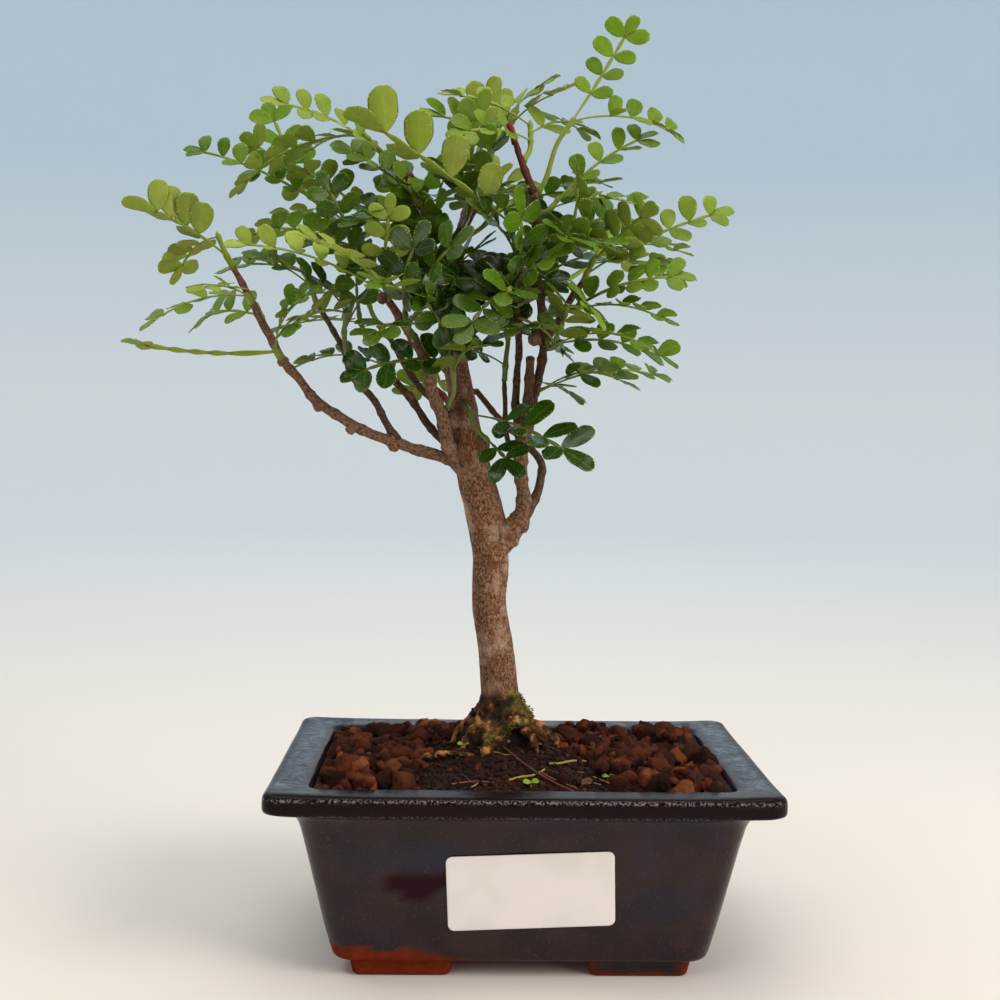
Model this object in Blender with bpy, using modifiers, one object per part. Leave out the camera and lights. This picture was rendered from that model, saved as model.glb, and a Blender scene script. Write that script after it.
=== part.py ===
# A small chinese pepper bonsai in a glazed rectangular pot, in metres, +Z up.
# Every sub-part is one closed solid: the pot, its soil, the trunk with its branches, a plain
# label on the pot, and one solid for each leafy shoot with the fronds that grow from it.
# Lengths and places below are in millimetres, from the middle of the pot on the ground:
# +X to the right, +Y to the back. The last step moves them by the shift and turns them to metres.
import math

import bmesh
import bpy
import numpy as np
from mathutils import Matrix, Vector
from mathutils.bvhtree import BVHTree

MM = 0.001
# The pot's middle is off the middle of the whole object's box by this much.
SHIFT = np.array([23.5, -5.5, 0.0])
FIT = 0.3

# The pot
POT_LENGTH = 154.0
POT_WIDTH = 110.0
POT_HEIGHT = 61.0
# Width of the flat rim over the end walls and over the long walls.
RIM_WIDTH = (13.0, 12.0)
CORNER_RISE = 0.9
LIP_HEIGHT = 6.5
COVE_HEIGHT = 8.0
FOOT_HEIGHT = 5.5
FOOT_LENGTH = 30.5
FOOT_WIDTH = 12.0
BASE_LENGTH = 116.0
BASE_WIDTH = 73.0
# How far the wall stands outside the rim's inner edge where it meets the cove.
WALL_TOP = (2.9, 0.5)
FOOT_MIDDLE = (36.5, 27.0)
WALL = 4.2
FLOOR = 4.5
DRAIN_RADIUS = 5.0
DRAIN_X = 26.0
# Half length and half width inside the rim.
INSIDE = (POT_LENGTH / 2 - RIM_WIDTH[0], POT_WIDTH / 2 - RIM_WIDTH[1])

# The soil
SOIL_EDGE_Z = 58.3
SOIL_MOUND = 8.0
SOIL_ROUGHNESS = 0.7
SOIL_SEED = 11
GRANULES = 14
GRANULE_RADIUS = (2.0, 4.2)

# The tree
TRUNK_FOOT = (-7.0, 0.0)
FOOT_LOBES = 6
FLARE_SIDES = 14
STALK_WIDTH = 1.3
BLADE = 0.7
CLEAR = 0.3
LEAFLET_ANGLE = 66.0
LEAFLET_BROAD = 0.66
# Where the crown's middle is: fronds placed by rule lean away from it.
CROWN_MIDDLE = (-20.0, 5.0, 205.0)
FROND_SEED = 137
FILL_PAIRS = 1
FILL_LEAFLET = 8.0
FILL_RISE = 14
# Where along a frond its first pair of leaflets is: on a chosen one, and on one placed by rule.
FIRST_PAIR = 0.3
FILL_FIRST = 0.45

# The label
LABEL_SIZE = (50.5, 23.5)
LABEL_THICKNESS = 0.4
LABEL_PLACE = (2.4, 29.0)
LABEL_TURN = 2.0

# Woody parts: points on the middle line with the radius there, (x, y, z, radius).
WOOD = {
    "trunk": [
        (-7, 0, 74, 6.8), (-7.2, 0, 79, 6.2), (-8.2, 0, 92, 5.8), (-10.6, 0, 112, 5.6),
        (-10.3, 0, 125, 5.9), (-12, 0, 138, 6.3), (-15.4, 0, 151, 5.9), (-18.4, 1, 164, 5.0),
        (-20.4, 2, 177, 4.3), (-24, 4, 196, 4.0), (-25, 6, 209, 4.0), (-31, 7, 223, 3.4),
        (-36, 8, 233, 2.7), (-39, 8, 240, 2.1), (-43, 8, 250, 1.5)],
    "low_left": [
        (-15, 0, 152, 2.5), (-22, 0, 157, 2.1), (-27, -3, 158.5, 1.9), (-40, -8, 162.5, 1.7),
        (-55, -12, 168.5, 1.6), (-65, -14, 175, 1.5), (-71, -15, 182, 1.4), (-76, -16, 188, 1.3),
        (-82, -18, 199, 1.2), (-87, -20, 209, 1.0), (-91, -21, 216, 0.9)],
    "twig": [
        (-41, -8.2, 163, 1.2), (-48, -6, 176, 1.1), (-56, -4, 184, 1.0), (-58, -2, 191, 0.95),
        (-63, 0, 200, 0.9), (-68, 2, 208, 0.85)],
    "behind": [
        (-17, 1, 157, 1.7), (-26, 3, 163, 1.4), (-32, 7, 169, 1.3), (-38, 10, 178, 1.2),
        (-45, 14, 185, 1.1), (-50, 18, 193, 1.0), (-53, 20, 198, 0.9)],
    "far_behind": [
        (-19, 2, 168, 1.6), (-25, 7, 172, 1.3), (-36, 18, 183, 1.1), (-44, 26, 196, 1.0),
        (-49, 31, 202, 0.9)],
    "front": [
        (-16, -1, 153, 2.5), (-22, -3, 158, 2.3), (-25, -6, 164, 2.2), (-26.5, -9, 172, 2.0),
        (-29, -12, 178, 1.9), (-33, -16, 191, 1.6), (-39, -20, 200, 1.4), (-43, -22, 206, 1.2)],
    "right": [
        (-10, 0, 129, 3.4), (-5.5, -1, 133.5, 3.0), (-1, -2, 139, 2.6), (0, -4, 146, 2.2),
        (-1, -6, 153, 2.1), (-1, -8, 161, 2.2), (0, -9, 169, 2.1), (2, -9, 177, 1.6),
        (4, -10, 186, 1.4), (5, -11, 194, 1.3), (4, -12, 204, 1.3), (3, -13, 213, 1.3),
        (2, -14, 224, 1.35), (2, -15, 233, 1.3), (1, -16, 240, 1.3), (-2, -16, 248, 1.1),
        (-4.5, -15, 256, 0.9)],
    "right_stub": [
        (0, -9.5, 167, 1.6), (0.3, -12, 175, 1.55), (0.8, -13.3, 183, 1.5), (1, -14, 190, 1.3)],
    "right_twin": [
        (-1, -8, 164, 1.4), (-3.2, -7.5, 173, 1.25), (-3, -7, 184, 1.15), (-2.5, -6, 194, 1.1),
        (-3, -5, 204, 1.0)],
    "thin": [
        (-1, -6, 157, 1.1), (-5, -5, 163, 0.9), (-6.5, -4.5, 171, 0.8), (-6.8, -4.5, 178, 0.75),
        (-6.8, -4.5, 184, 0.7)],
    "right_behind": [
        (-1, -2, 139, 1.9), (3.8, 1.5, 145, 1.5), (5.8, 4, 151, 1.3), (6.2, 7, 157, 1.2),
        (1, 13, 163, 1.1), (-7, 18, 170, 1.0), (-16, 24, 180, 0.9)],
    "right_side": [
        (5, -11, 195, 1.2), (9, -11, 201, 1.1), (13, -10, 208, 1.0), (17, -9, 214, 0.9)],
    "centre": [
        (-29, 7, 219, 2.4), (-23, 8, 229, 1.6), (-17, 7, 240, 1.3), (-13, 6, 250, 1.0)],
    "back_left": [
        (-25, 6, 209, 2.3), (-34, 17, 216, 1.5), (-46, 30, 224, 1.2), (-58, 41, 233, 1.0)],
    "back_right": [
        (-23, 4, 194, 2.3), (-14, 16, 203, 1.6), (0, 27, 211, 1.3), (15, 36, 219, 1.0)],
    "back": [
        (-25, 6, 211, 2.2), (-25, 20, 224, 1.4), (-22, 34, 236, 1.1), (-20, 44, 246, 0.9)],
}
# Bud knobs and healed cuts on the bark, (x, y, z, radius).
KNOBS = [(-55, -12, 167, 2.1), (-65, -14, 174, 2.0), (-23, -5, 170, 3.2), (-1, -2, 137, 3.2),
         (0.9, -14, 190, 1.75)]

# Leafy shoots. Each grows from a woody part at a fraction of its length, "stem" is its own
# middle line, "fronds" are fronds with a chosen tip: the fraction along the stem, the tip, the
# way that the upper side faces, the bow, the pairs of leaflets, a leaflet's length, the angle by
# which the leaflets rise from the flat and, if it isn't FIRST_PAIR, where the first pair is.
# "fill" is the number of further fronds.
SPRAYS = [
    {"on": ("low_left", 1.0), "stem": [(-93, -22, 220), (-95, -23, 225)], "fill": 0, "fronds": [
        (0.3, (-120, -35, 233), (0.2, 0.75, 0.65), 3, 4, 9.5, 42),
        (0.95, (-112, -6, 214), (0.0, -0.2, 1.0), 4, 2, 7.5, 14)]},
    {"on": ("low_left", 0.88), "stem": [(-86, -24, 207)], "fill": 1, "fronds": [
        (0.8, (-100, -44, 205), (0.0, -0.3, 1.0), 3, 3, 7.5, 16)]},
    {"on": ("low_left", 0.66), "stem": [(-78, -20, 191)], "fill": 0, "fronds": [
        (0.6, (-124, -25, 193), (0.0, -0.1, 1.0), -2, 1, 8.5, 8, 0.9),
        (0.9, (-62, -33, 209), (-0.6, -0.5, 0.6), 4, 3, 7.0, 20)]},
    {"on": ("low_left", 0.78), "stem": [(-83, -8, 200), (-86, -4, 206)], "fill": 1, "fronds": []},
    {"on": ("twig", 1.0), "stem": [(-70, 4, 213), (-73, 6, 219)], "fill": 1, "fronds": [
        (0.4, (-97, 3, 220), (0.0, -0.3, 1.0), 4, 3, 7.5, 16)]},
    {"on": ("twig", 0.55), "stem": [(-58, -6, 197), (-57, -9, 204)], "fill": 2, "fronds": [
        (0.9, (-77, -25, 212), (0.0, -0.6, 0.8), 3, 3, 8.0, 14)]},
    {"on": ("front", 1.0), "stem": [(-44, -23, 210), (-45, -23, 214)], "fill": 1, "fronds": [
        (0.1, (-92, -35, 221), (0.0, -0.55, 0.85), 5, 4, 8.0, 28),
        (0.9, (-42, -29, 238), (-0.1, -1.0, 0.1), 2, 3, 7.5, 16)]},
    {"on": ("front", 0.72), "stem": [(-37, -24, 198), (-38, -28, 203)], "fill": 2, "fronds": []},
    {"on": ("front", 0.34), "stem": [(-23, -13, 180), (-24, -17, 191), (-25, -19, 198)],
     "fill": 3, "fronds": []},
    {"on": ("trunk", 0.58), "stem": [(-18, -9, 173), (-16, -12, 168), (-12, -15, 164)], "fill": 0,
     "fronds": [(0.4, (20, -31, 156), (0.1, -0.6, 0.8), 4, 3, 11.0, 16),
                (0.95, (-2, -25, 153), (0.1, -0.9, 0.4), 1, 1, 8.5, 12)]},
    {"on": ("behind", 1.0), "stem": [(-55, 22, 203), (-56, 24, 209)], "fill": 2, "fronds": []},
    {"on": ("behind", 0.62), "stem": [(-48, 8, 190), (-50, 5, 195)], "fill": 1, "fronds": []},
    {"on": ("far_behind", 1.0), "stem": [(-52, 35, 207), (-54, 38, 213)], "fill": 1, "fronds": []},
    {"on": ("trunk", 0.72), "stem": [(-25, -3, 209), (-27, -7, 216)], "fill": 4, "fronds": []},
    {"on": ("trunk", 0.84), "stem": [(-43, 1, 222), (-51, -3, 223), (-56, -5, 224)], "fill": 2,
     "fronds": [(0.9, (-66, -14, 247), (0.0, -1.0, 0.25), 3, 3, 8.0, 16)]},
    {"on": ("trunk", 0.93), "stem": [(-50, 11, 236), (-61, 13, 235)], "fill": 2, "fronds": [
        (0.95, (-114, 19, 259), (0.1, -0.75, 0.65), 5, 3, 8.0, 24)]},
    {"on": ("trunk", 1.0), "stem": [(-47, 7, 256), (-54, 8, 263)], "fill": 1, "fronds": [
        (0.1, (-85, -12, 268), (0.1, -0.7, 0.7), 6, 3, 8.5, 22),
        (0.95, (-94, 1, 236), (-0.8, 0.3, 0.6), 7, 3, 8.5, 12)]},
    {"on": ("back_left", 1.0), "stem": [(-68, 46, 242), (-78, 51, 251)], "fill": 2, "fronds": [
        (0.95, (-93, 62, 284), (0.1, -1.0, 0.2), 2, 3, 9.5, 14)]},
    {"on": ("back_left", 0.5), "stem": [(-40, 28, 228), (-41, 32, 236)], "fill": 2, "fronds": []},
    {"on": ("back", 1.0), "stem": [(-18, 47, 252), (-17, 49, 258)], "fill": 2, "fronds": []},
    {"on": ("back", 0.55), "stem": [(-14, 26, 236), (-9, 25, 243)], "fill": 2, "fronds": []},
    {"on": ("back_right", 1.0), "stem": [(22, 39, 224), (27, 41, 230)], "fill": 2, "fronds": []},
    {"on": ("back_right", 0.5), "stem": [(0, 18, 215), (4, 14, 221)], "fill": 2, "fronds": []},
    {"on": ("right", 0.86), "stem": [(5, -15, 246), (8, -14, 256), (13, -13, 264)], "fill": 0,
     "fronds": [(0.92, (33, -8, 298), (-0.1, -1.0, 0.2), -2, 5, 8.0, 14),
                (0.98, (50, -4, 259), (0.1, -0.6, 0.8), 5, 3, 8.0, 22)]},
    {"on": ("right", 0.95), "stem": [(0, -9, 256), (0, -6, 264)], "fill": 1, "fronds": [
        (0.95, (-30, 2, 274), (0.0, -0.35, 1.0), 3, 3, 8.5, 18),
        (0.6, (-27, -21, 256), (0.0, -0.8, 0.6), 4, 3, 8.0, 12)]},
    {"on": ("centre", 1.0), "stem": [(-12, 5, 255), (-13, 5, 260)], "fill": 2, "fronds": [
        (0.7, (-34, -10, 271), (0.2, -0.6, 0.7), 4, 3, 9.0, 14)]},
    {"on": ("centre", 0.45), "stem": [(-19, -1, 236), (-18, -6, 241)], "fill": 4, "fronds": []},
    {"on": ("right", 0.79), "stem": [(-1, -21, 226)], "fill": 0, "fronds": [
        (0.8, (-55, -46, 259), (0.4, 0.7, 0.6), 2, 5, 14.0, 44, 0.27)]},
    {"on": ("right", 0.83), "stem": [(6, -13, 236), (9, -11, 240)], "fill": 1, "fronds": [
        (0.6, (41, -9, 262), (-0.1, -0.7, 0.7), 4, 3, 8.0, 22),
        (0.95, (28, 14, 248), (0.0, -0.3, 1.0), 3, 3, 8.0, 14)]},
    {"on": ("right_side", 1.0), "stem": [(19, -9, 218), (21, -9, 222)], "fill": 2, "fronds": [
        (0.3, (65, -9, 238), (-0.1, -0.8, 0.6), 4, 5, 8.5, 26),
        (0.9, (55, 8, 224), (0.0, -0.2, 1.0), 5, 3, 8.0, 20)]},
    {"on": ("right_side", 0.55), "stem": [(14, -15, 205), (16, -18, 207)], "fill": 2, "fronds": [
        (0.9, (50, -31, 214), (0.0, -0.7, 0.7), 4, 3, 8.0, 16),
        (0.5, (45, -33, 201), (0.1, -0.3, 1.0), 4, 3, 8.0, 16)]},
    {"on": ("right", 0.565), "stem": [(7, -14, 193), (10, -16, 195)], "fill": 2, "fronds": [
        (0.9, (44, -38, 185), (0.1, -0.3, 1.0), 7, 3, 8.0, 18),
        (0.7, (-8, -45, 194), (0.0, -0.3, 1.0), 5, 3, 8.5, 12)]},
    {"on": ("right", 0.49), "stem": [(4, -8, 184), (8, -7, 187)], "fill": 0, "fronds": [
        (0.95, (36, -14, 179), (0.2, -0.2, 1.0), 7, 3, 8.0, 16),
        (0.5, (16, -22, 174), (0.3, -0.2, 1.0), 4, 2, 7.5, 14),
        (0.8, (49, 10, 184), (0.1, -0.4, 0.9), 6, 3, 8.0, 16)]},
    {"on": ("right_behind", 1.0), "stem": [(-19, 29, 181), (-22, 33, 186)], "fill": 1,
     "fronds": []},
    {"on": ("right", 0.66), "stem": [(-4, -17, 206), (-8, -21, 210)], "fill": 4, "fronds": []},
    {"on": ("trunk", 0.63), "stem": [(-13, 4, 196), (-9, 5, 201)], "fill": 2, "fronds": []},
    {"on": ("trunk", 0.8), "stem": [(-30, -3, 226), (-31, -8, 231)], "fill": 4, "fronds": []},
    {"on": ("right_twin", 1.0), "stem": [(-3.5, -5, 207), (-4, -7, 212)], "fill": 3, "fronds": []},
    {"on": ("thin", 1.0), "stem": [(-6.5, -5, 190), (-6, -5, 197), (-8, -5, 205)], "fill": 1,
     "fronds": [(0.15, (-26, -17, 192), (0.1, -0.7, 0.7), 2, 1, 7.5, 16, 0.5),
                (0.95, (12, 0, 226), (0.0, -0.8, 0.6), 2, 1, 8.0, 14, 0.5)]},
    {"on": ("right", 0.71), "stem": [(8, -14, 223), (11, -15, 226)], "fill": 4, "fronds": []},
    {"on": ("right", 0.68), "stem": [(-2, -11, 218), (-7, -8, 221)], "fill": 4, "fronds": []},
    {"on": ("front", 0.86), "stem": [(-34, -24, 203), (-31, -27, 208)], "fill": 3, "fronds": []},
    {"on": ("trunk", 0.88), "stem": [(-34, 0, 236), (-33, -5, 240)], "fill": 3, "fronds": []},
    {"on": ("back_right", 0.75), "stem": [(10, 28, 221), (12, 25, 227)], "fill": 2, "fronds": []},
]

COLORS = {"pot": (0.02, 0.028, 0.045, 1.0), "soil": (0.06, 0.032, 0.02, 1.0),
          "bark": (0.24, 0.17, 0.12, 1.0), "leaf": (0.12, 0.26, 0.035, 1.0),
          "label": (0.86, 0.87, 0.88, 1.0)}


def clear_scene():
    for item in list(bpy.data.objects):
        bpy.data.objects.remove(item, do_unlink=True)


def new_collection(name):
    collection = bpy.data.collections.new(name)
    bpy.context.scene.collection.children.link(collection)
    return collection


def material(name, color, roughness):
    result = bpy.data.materials.new(name)
    result.use_nodes = True
    shader = result.node_tree.nodes["Principled BSDF"]
    shader.inputs["Base Color"].default_value = color
    shader.inputs["Roughness"].default_value = roughness
    return result


def metres(points):
    """Millimetres from the middle of the pot, turned to metres in the object's own frame."""
    return (np.asarray(points, dtype=float) + SHIFT) * MM


def unit(vector):
    return vector / np.linalg.norm(vector)


def mesh_object(name, points, faces, collection):
    """A new object from points in millimetres and faces, with its faces turned outwards."""
    mesh = bpy.data.meshes.new(name)
    mesh.from_pydata(metres(points).tolist(), [], faces)
    builder = bmesh.new()
    builder.from_mesh(mesh)
    bmesh.ops.recalc_face_normals(builder, faces=builder.faces)
    builder.to_mesh(mesh)
    builder.free()
    result = bpy.data.objects.new(name, mesh)
    collection.objects.link(result)
    return result


def to_mesh(item, weld=True):
    """Swaps an object for a plain mesh of what it evaluates to, with a curve's caps welded."""
    bpy.context.view_layer.update()
    evaluated = item.evaluated_get(bpy.context.evaluated_depsgraph_get())
    mesh = bpy.data.meshes.new_from_object(evaluated)
    if weld:
        builder = bmesh.new()
        builder.from_mesh(mesh)
        bmesh.ops.remove_doubles(builder, verts=builder.verts, dist=0.000001)
        bmesh.ops.recalc_face_normals(builder, faces=builder.faces)
        builder.to_mesh(mesh)
        builder.free()
    result = bpy.data.objects.new("made", mesh)
    result.matrix_world = item.matrix_world.copy()
    item.users_collection[0].objects.link(result)
    name = item.name
    bpy.data.objects.remove(item, do_unlink=True)
    result.name = name
    return result


def fuse(name, pieces):
    """Joins pieces that meet into one body, under a new name."""
    body = pieces[0]
    if len(pieces) > 1:
        others = new_collection(name + "_pieces")
        for piece in pieces[1:]:
            for holder in list(piece.users_collection):
                holder.objects.unlink(piece)
            others.objects.link(piece)
        union = body.modifiers.new("union", "BOOLEAN")
        union.operation = "UNION"
        union.operand_type = "COLLECTION"
        union.collection = others
        union.solver = "MANIFOLD"
        body = to_mesh(body, weld=False)
        for piece in list(others.objects):
            bpy.data.objects.remove(piece, do_unlink=True)
        bpy.data.collections.remove(others)
    body.name = name
    return body


def cut(body, cutter, cutters):
    """Takes the cutter's shape out of the body. The cutter stays, as a hidden wire."""
    for holder in list(cutter.users_collection):
        holder.objects.unlink(cutter)
    cutters.objects.link(cutter)
    cutter.hide_render = True
    cutter.display_type = "WIRE"
    step = body.modifiers.new("cut", "BOOLEAN")
    step.operation = "DIFFERENCE"
    step.object = cutter
    step.solver = "EXACT"


def rounded_rectangle(half_x, half_y, radius, z, corner_steps=3):
    """A ring of points round a rectangle, with an arc of corner_steps + 1 points at each corner."""
    points = []
    for corner in range(4):
        turn = math.pi / 2 * corner
        middle_x = (half_x - radius) * (1 if corner in (0, 3) else -1)
        middle_y = (half_y - radius) * (1 if corner in (0, 1) else -1)
        for step in range(corner_steps + 1):
            angle = turn + math.pi / 2 * step / corner_steps
            points.append((middle_x + radius * math.cos(angle),
                           middle_y + radius * math.sin(angle), z))
    return points


def loft(name, rings, collection, last_point=None):
    """A closed skin over rings of equal length: flat first cap, and a flat or pointed last."""
    count = len(rings[0])
    points = [point for ring in rings for point in ring]
    faces = [list(range(count))]
    for row in range(len(rings) - 1):
        for column in range(count):
            here = row * count + column
            beside = row * count + (column + 1) % count
            faces.append([here, beside, beside + count, here + count])
    start = (len(rings) - 1) * count
    if last_point is None:
        faces.append(list(range(start, start + count)))
    else:
        points.append(last_point)
        for column in range(count):
            faces.append([start + column, start + (column + 1) % count, len(points) - 1])
    return mesh_object(name, points, faces, collection)


def inner_half(z):
    """Half length, half width and corner radius of the pot's inside at a height."""
    floor_z = FOOT_HEIGHT + FLOOR
    high = ((z - floor_z) / (POT_HEIGHT - floor_z)) ** 1.15
    half_x = BASE_LENGTH / 2 - WALL + high * (INSIDE[0] - BASE_LENGTH / 2 + WALL)
    half_y = BASE_WIDTH / 2 - WALL + high * (INSIDE[1] - BASE_WIDTH / 2 + WALL)
    return half_x, half_y, 6.0


def outer_half(z, swell=0.0):
    """Half length and half width of the pot's outer wall at a height, under its rim."""
    share = (z - FOOT_HEIGHT) / (POT_HEIGHT - LIP_HEIGHT - COVE_HEIGHT - FOOT_HEIGHT)
    half_x = BASE_LENGTH / 2 + share * (INSIDE[0] + WALL_TOP[0] - BASE_LENGTH / 2)
    half_y = BASE_WIDTH / 2 + share * (INSIDE[1] + WALL_TOP[1] - BASE_WIDTH / 2)
    return half_x + swell, half_y + swell


def raised_corners(half_x, half_y, z):
    """A ring of the lip whose round corners stand a little higher than its sides:
    z + rise * (x / half_x * y / half_y) ** 6."""
    ring = rounded_rectangle(half_x, half_y, 5.0, z)
    return [(x, y, z + CORNER_RISE * (x / half_x * y / half_y) ** 6) for x, y, _ in ring]


def build_pot(parts, cutters, finish):
    """One fired piece: tapered walls, a flat flared rim, four feet and two drain holes."""
    lip_z = POT_HEIGHT - LIP_HEIGHT
    rings = []
    for z, swell, radius in ((FOOT_HEIGHT, -1.5, 6.0), (FOOT_HEIGHT + 1.5, 0.0, 7.0),
                             (26.0, 0.0, 7.0), (lip_z - COVE_HEIGHT, 0.0, 7.0),
                             (lip_z - 4.0, 1.1, 7.0), (lip_z - 0.9, 3.6, 7.5)):
        half_x, half_y = outer_half(min(z, lip_z - COVE_HEIGHT), swell)
        rings.append(rounded_rectangle(half_x, half_y, radius, z))
    for inset, z in ((0.7, lip_z), (0.0, lip_z + 1.2), (0.0, POT_HEIGHT - 1.4),
                     (1.2, POT_HEIGHT)):
        rings.append(raised_corners(POT_LENGTH / 2 - inset, POT_WIDTH / 2 - inset, z))
    rings.append(rounded_rectangle(INSIDE[0] + 0.6, INSIDE[1] + 0.6, 5.5, POT_HEIGHT - 0.4))
    for z in (POT_HEIGHT - 2.0, 34.0, FOOT_HEIGHT + FLOOR + 2.0):
        half_x, half_y, radius = inner_half(z)
        rings.append(rounded_rectangle(half_x, half_y, radius, z))
    half_x, half_y, radius = inner_half(FOOT_HEIGHT + FLOOR)
    rings.append(rounded_rectangle(half_x - 1.5, half_y - 1.5, radius, FOOT_HEIGHT + FLOOR))
    body = loft("pot_body", rings, parts)
    pieces = [body]
    for side_x in (-1, 1):
        for side_y in (-1, 1):
            middle_x = side_x * FOOT_MIDDLE[0]
            middle_y = side_y * FOOT_MIDDLE[1]
            sections = []
            for z, grow in ((0.0, -0.8), (0.8, 0.0), (FOOT_HEIGHT + 1.0, 1.0)):
                ring = rounded_rectangle(FOOT_LENGTH / 2 + grow, FOOT_WIDTH / 2 + grow, 2.5, z, 2)
                sections.append([(x + middle_x, y + middle_y, height) for x, y, height in ring])
            pieces.append(loft("foot", sections, parts))
    pot = fuse("pot", pieces)
    for side_x in (-1, 1):
        bpy.ops.mesh.primitive_cylinder_add(
            vertices=16, radius=DRAIN_RADIUS * MM, depth=4 * FLOOR * MM,
            location=metres((side_x * DRAIN_X, 0.0, FOOT_HEIGHT + FLOOR / 2)))
        cut(pot, bpy.context.object, cutters)
    pot.data.materials.clear()
    pot.data.materials.append(finish)
    return pot


def foot_radius(angle, z, grow=0.0):
    """The trunk's root flare: a neck that spreads downwards into lobes, one for each root."""
    down = min(max((84.0 - z) / 18.0, 0.0), 1.3)
    neck = 6.0 + 4.6 * down ** 1.7
    lobe = 0.5 + 0.5 * math.cos(FOOT_LOBES * angle + 1.1 * math.sin(angle) + 0.6)
    return neck + 3.6 * down ** 1.5 * lobe * (0.8 + 0.2 * math.cos(angle - 0.4)) + grow


def flare(name, heights, grow, collection):
    """The root flare as rings of foot_radius round the trunk's foot."""
    rings = []
    for z in heights:
        ring = []
        for step in range(FLARE_SIDES):
            angle = 2 * math.pi * step / FLARE_SIDES
            radius = foot_radius(angle, z, grow)
            ring.append((TRUNK_FOOT[0] + radius * math.cos(angle),
                         TRUNK_FOOT[1] + radius * math.sin(angle), z))
        rings.append(ring)
    return loft(name, rings, collection)


def soil_height(x, y):
    """A low mound: highest at the trunk's foot, down to the edge along the pot's wall."""
    across = (x - TRUNK_FOOT[0]) / INSIDE[0]
    along = (y - TRUNK_FOOT[1]) / INSIDE[1]
    wall = max(abs(x) / INSIDE[0], abs(y) / INSIDE[1])
    mound = math.exp(-5.0 * across ** 2 - 3.2 * along ** 2)
    return SOIL_EDGE_Z + 1.2 * (1 - wall ** 2) + (SOIL_MOUND - 1.2) * mound


def build_soil(parts, cutters, finish):
    """Fills the pot. Its top is a rough mound with a hole for the trunk's foot. Clay granules
    are sunk in at the right and in a drift at the left, clear of the foot."""
    rng = np.random.default_rng(SOIL_SEED)
    base_z = FOOT_HEIGHT + FLOOR + FIT
    rings = []
    for z in (base_z, 34.0, SOIL_EDGE_Z - 1.0):
        half_x, half_y, radius = inner_half(z)
        inset = FIT + (1.5 if z == base_z else 0.15)
        rings.append(rounded_rectangle(half_x - inset, half_y - inset, radius, z))
    half_x, half_y, radius = inner_half(SOIL_EDGE_Z - 1.0)
    for share in (0.97, 0.78, 0.58, 0.38, 0.2):
        ring = rounded_rectangle((half_x - 0.6) * share, (half_y - 0.6) * share, radius * share, 0.0)
        rough = rng.uniform(-SOIL_ROUGHNESS, SOIL_ROUGHNESS, len(ring)) * min(1.0, 5 * (1 - share))
        rings.append([(x, y, soil_height(x, y) + step) for (x, y, _), step in zip(ring, rough)])
    ground = loft("ground", rings, parts, last_point=(0.0, 0.0, soil_height(0.0, 0.0)))
    surface = BVHTree.FromPolygons([corner.co for corner in ground.data.vertices],
                                   [tuple(face.vertices) for face in ground.data.polygons])
    pieces = [ground]
    while len(pieces) <= GRANULES:
        x = rng.uniform(-half_x + 6, half_x - 6)
        y = rng.uniform(-half_y + 6, half_y - 6)
        size = rng.uniform(*GRANULE_RADIUS)
        from_foot = math.hypot(x - TRUNK_FOOT[0], y - TRUNK_FOOT[1])
        in_drift = x > 12 or -58 < x < -24
        if from_foot < 24 or not in_drift:
            continue
        bpy.ops.mesh.primitive_ico_sphere_add(subdivisions=1, radius=size * MM)
        granule = bpy.context.object
        squash = Matrix.Diagonal((rng.uniform(0.85, 1.2), rng.uniform(0.85, 1.2), 0.8, 1.0))
        turn = Matrix.Rotation(rng.uniform(0, 6.28), 4, "Z") @ Matrix.Rotation(
            rng.uniform(0, 6.28), 4, "X")
        top = surface.ray_cast(metres((x, y, 2 * POT_HEIGHT)), (0.0, 0.0, -1.0))[0]
        place = Matrix.Translation(top + Vector((0.0, 0.0, 0.05 * size * MM)))
        granule.data.transform(place @ turn @ squash)
        pieces.append(granule)
    soil = fuse("soil", pieces)
    hole = flare("foot_hole", (50.0, 58.0, 62.0, 66.0, 69.0, 72.0, 76.0), FIT + 0.1, cutters)
    cut(soil, hole, cutters)
    soil.data.materials.clear()
    soil.data.materials.append(finish)
    return soil


def smooth_route(points, spans=2):
    """Points along a smooth curve (Catmull-Rom) through the route, spans to each stretch."""
    points = np.asarray(points, dtype=float)
    before = np.vstack([2 * points[0] - points[1], points, 2 * points[-1] - points[-2]])
    result = []
    for index in range(len(points) - 1):
        p0, p1, p2, p3 = before[index:index + 4]
        for step in range(spans):
            t = step / spans
            result.append(0.5 * (2 * p1 + (p2 - p0) * t + (2 * p0 - 5 * p1 + 4 * p2 - p3) * t ** 2
                                 + (3 * p1 - p0 - 3 * p2 + p3) * t ** 3))
    result.append(points[-1])
    return np.array(result)


def tube(name, route, collection, bevel_resolution=1):
    """A round stem along a route of (x, y, z, radius), closed at both ends, as a mesh."""
    curve = bpy.data.curves.new(name, "CURVE")
    curve.dimensions = "3D"
    curve.bevel_depth = MM
    curve.bevel_resolution = bevel_resolution
    curve.use_fill_caps = True
    spline = curve.splines.new("POLY")
    spline.points.add(len(route) - 1)
    for point, (x, y, z, radius) in zip(spline.points, route):
        point.co = (*metres((x, y, z)), 1.0)
        point.radius = radius
    item = bpy.data.objects.new(name, curve)
    collection.objects.link(item)
    return to_mesh(item)


def wood_route(name):
    spans = 2 if len(WOOD[name]) < 6 else 1
    return smooth_route(WOOD[name], spans)


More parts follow.
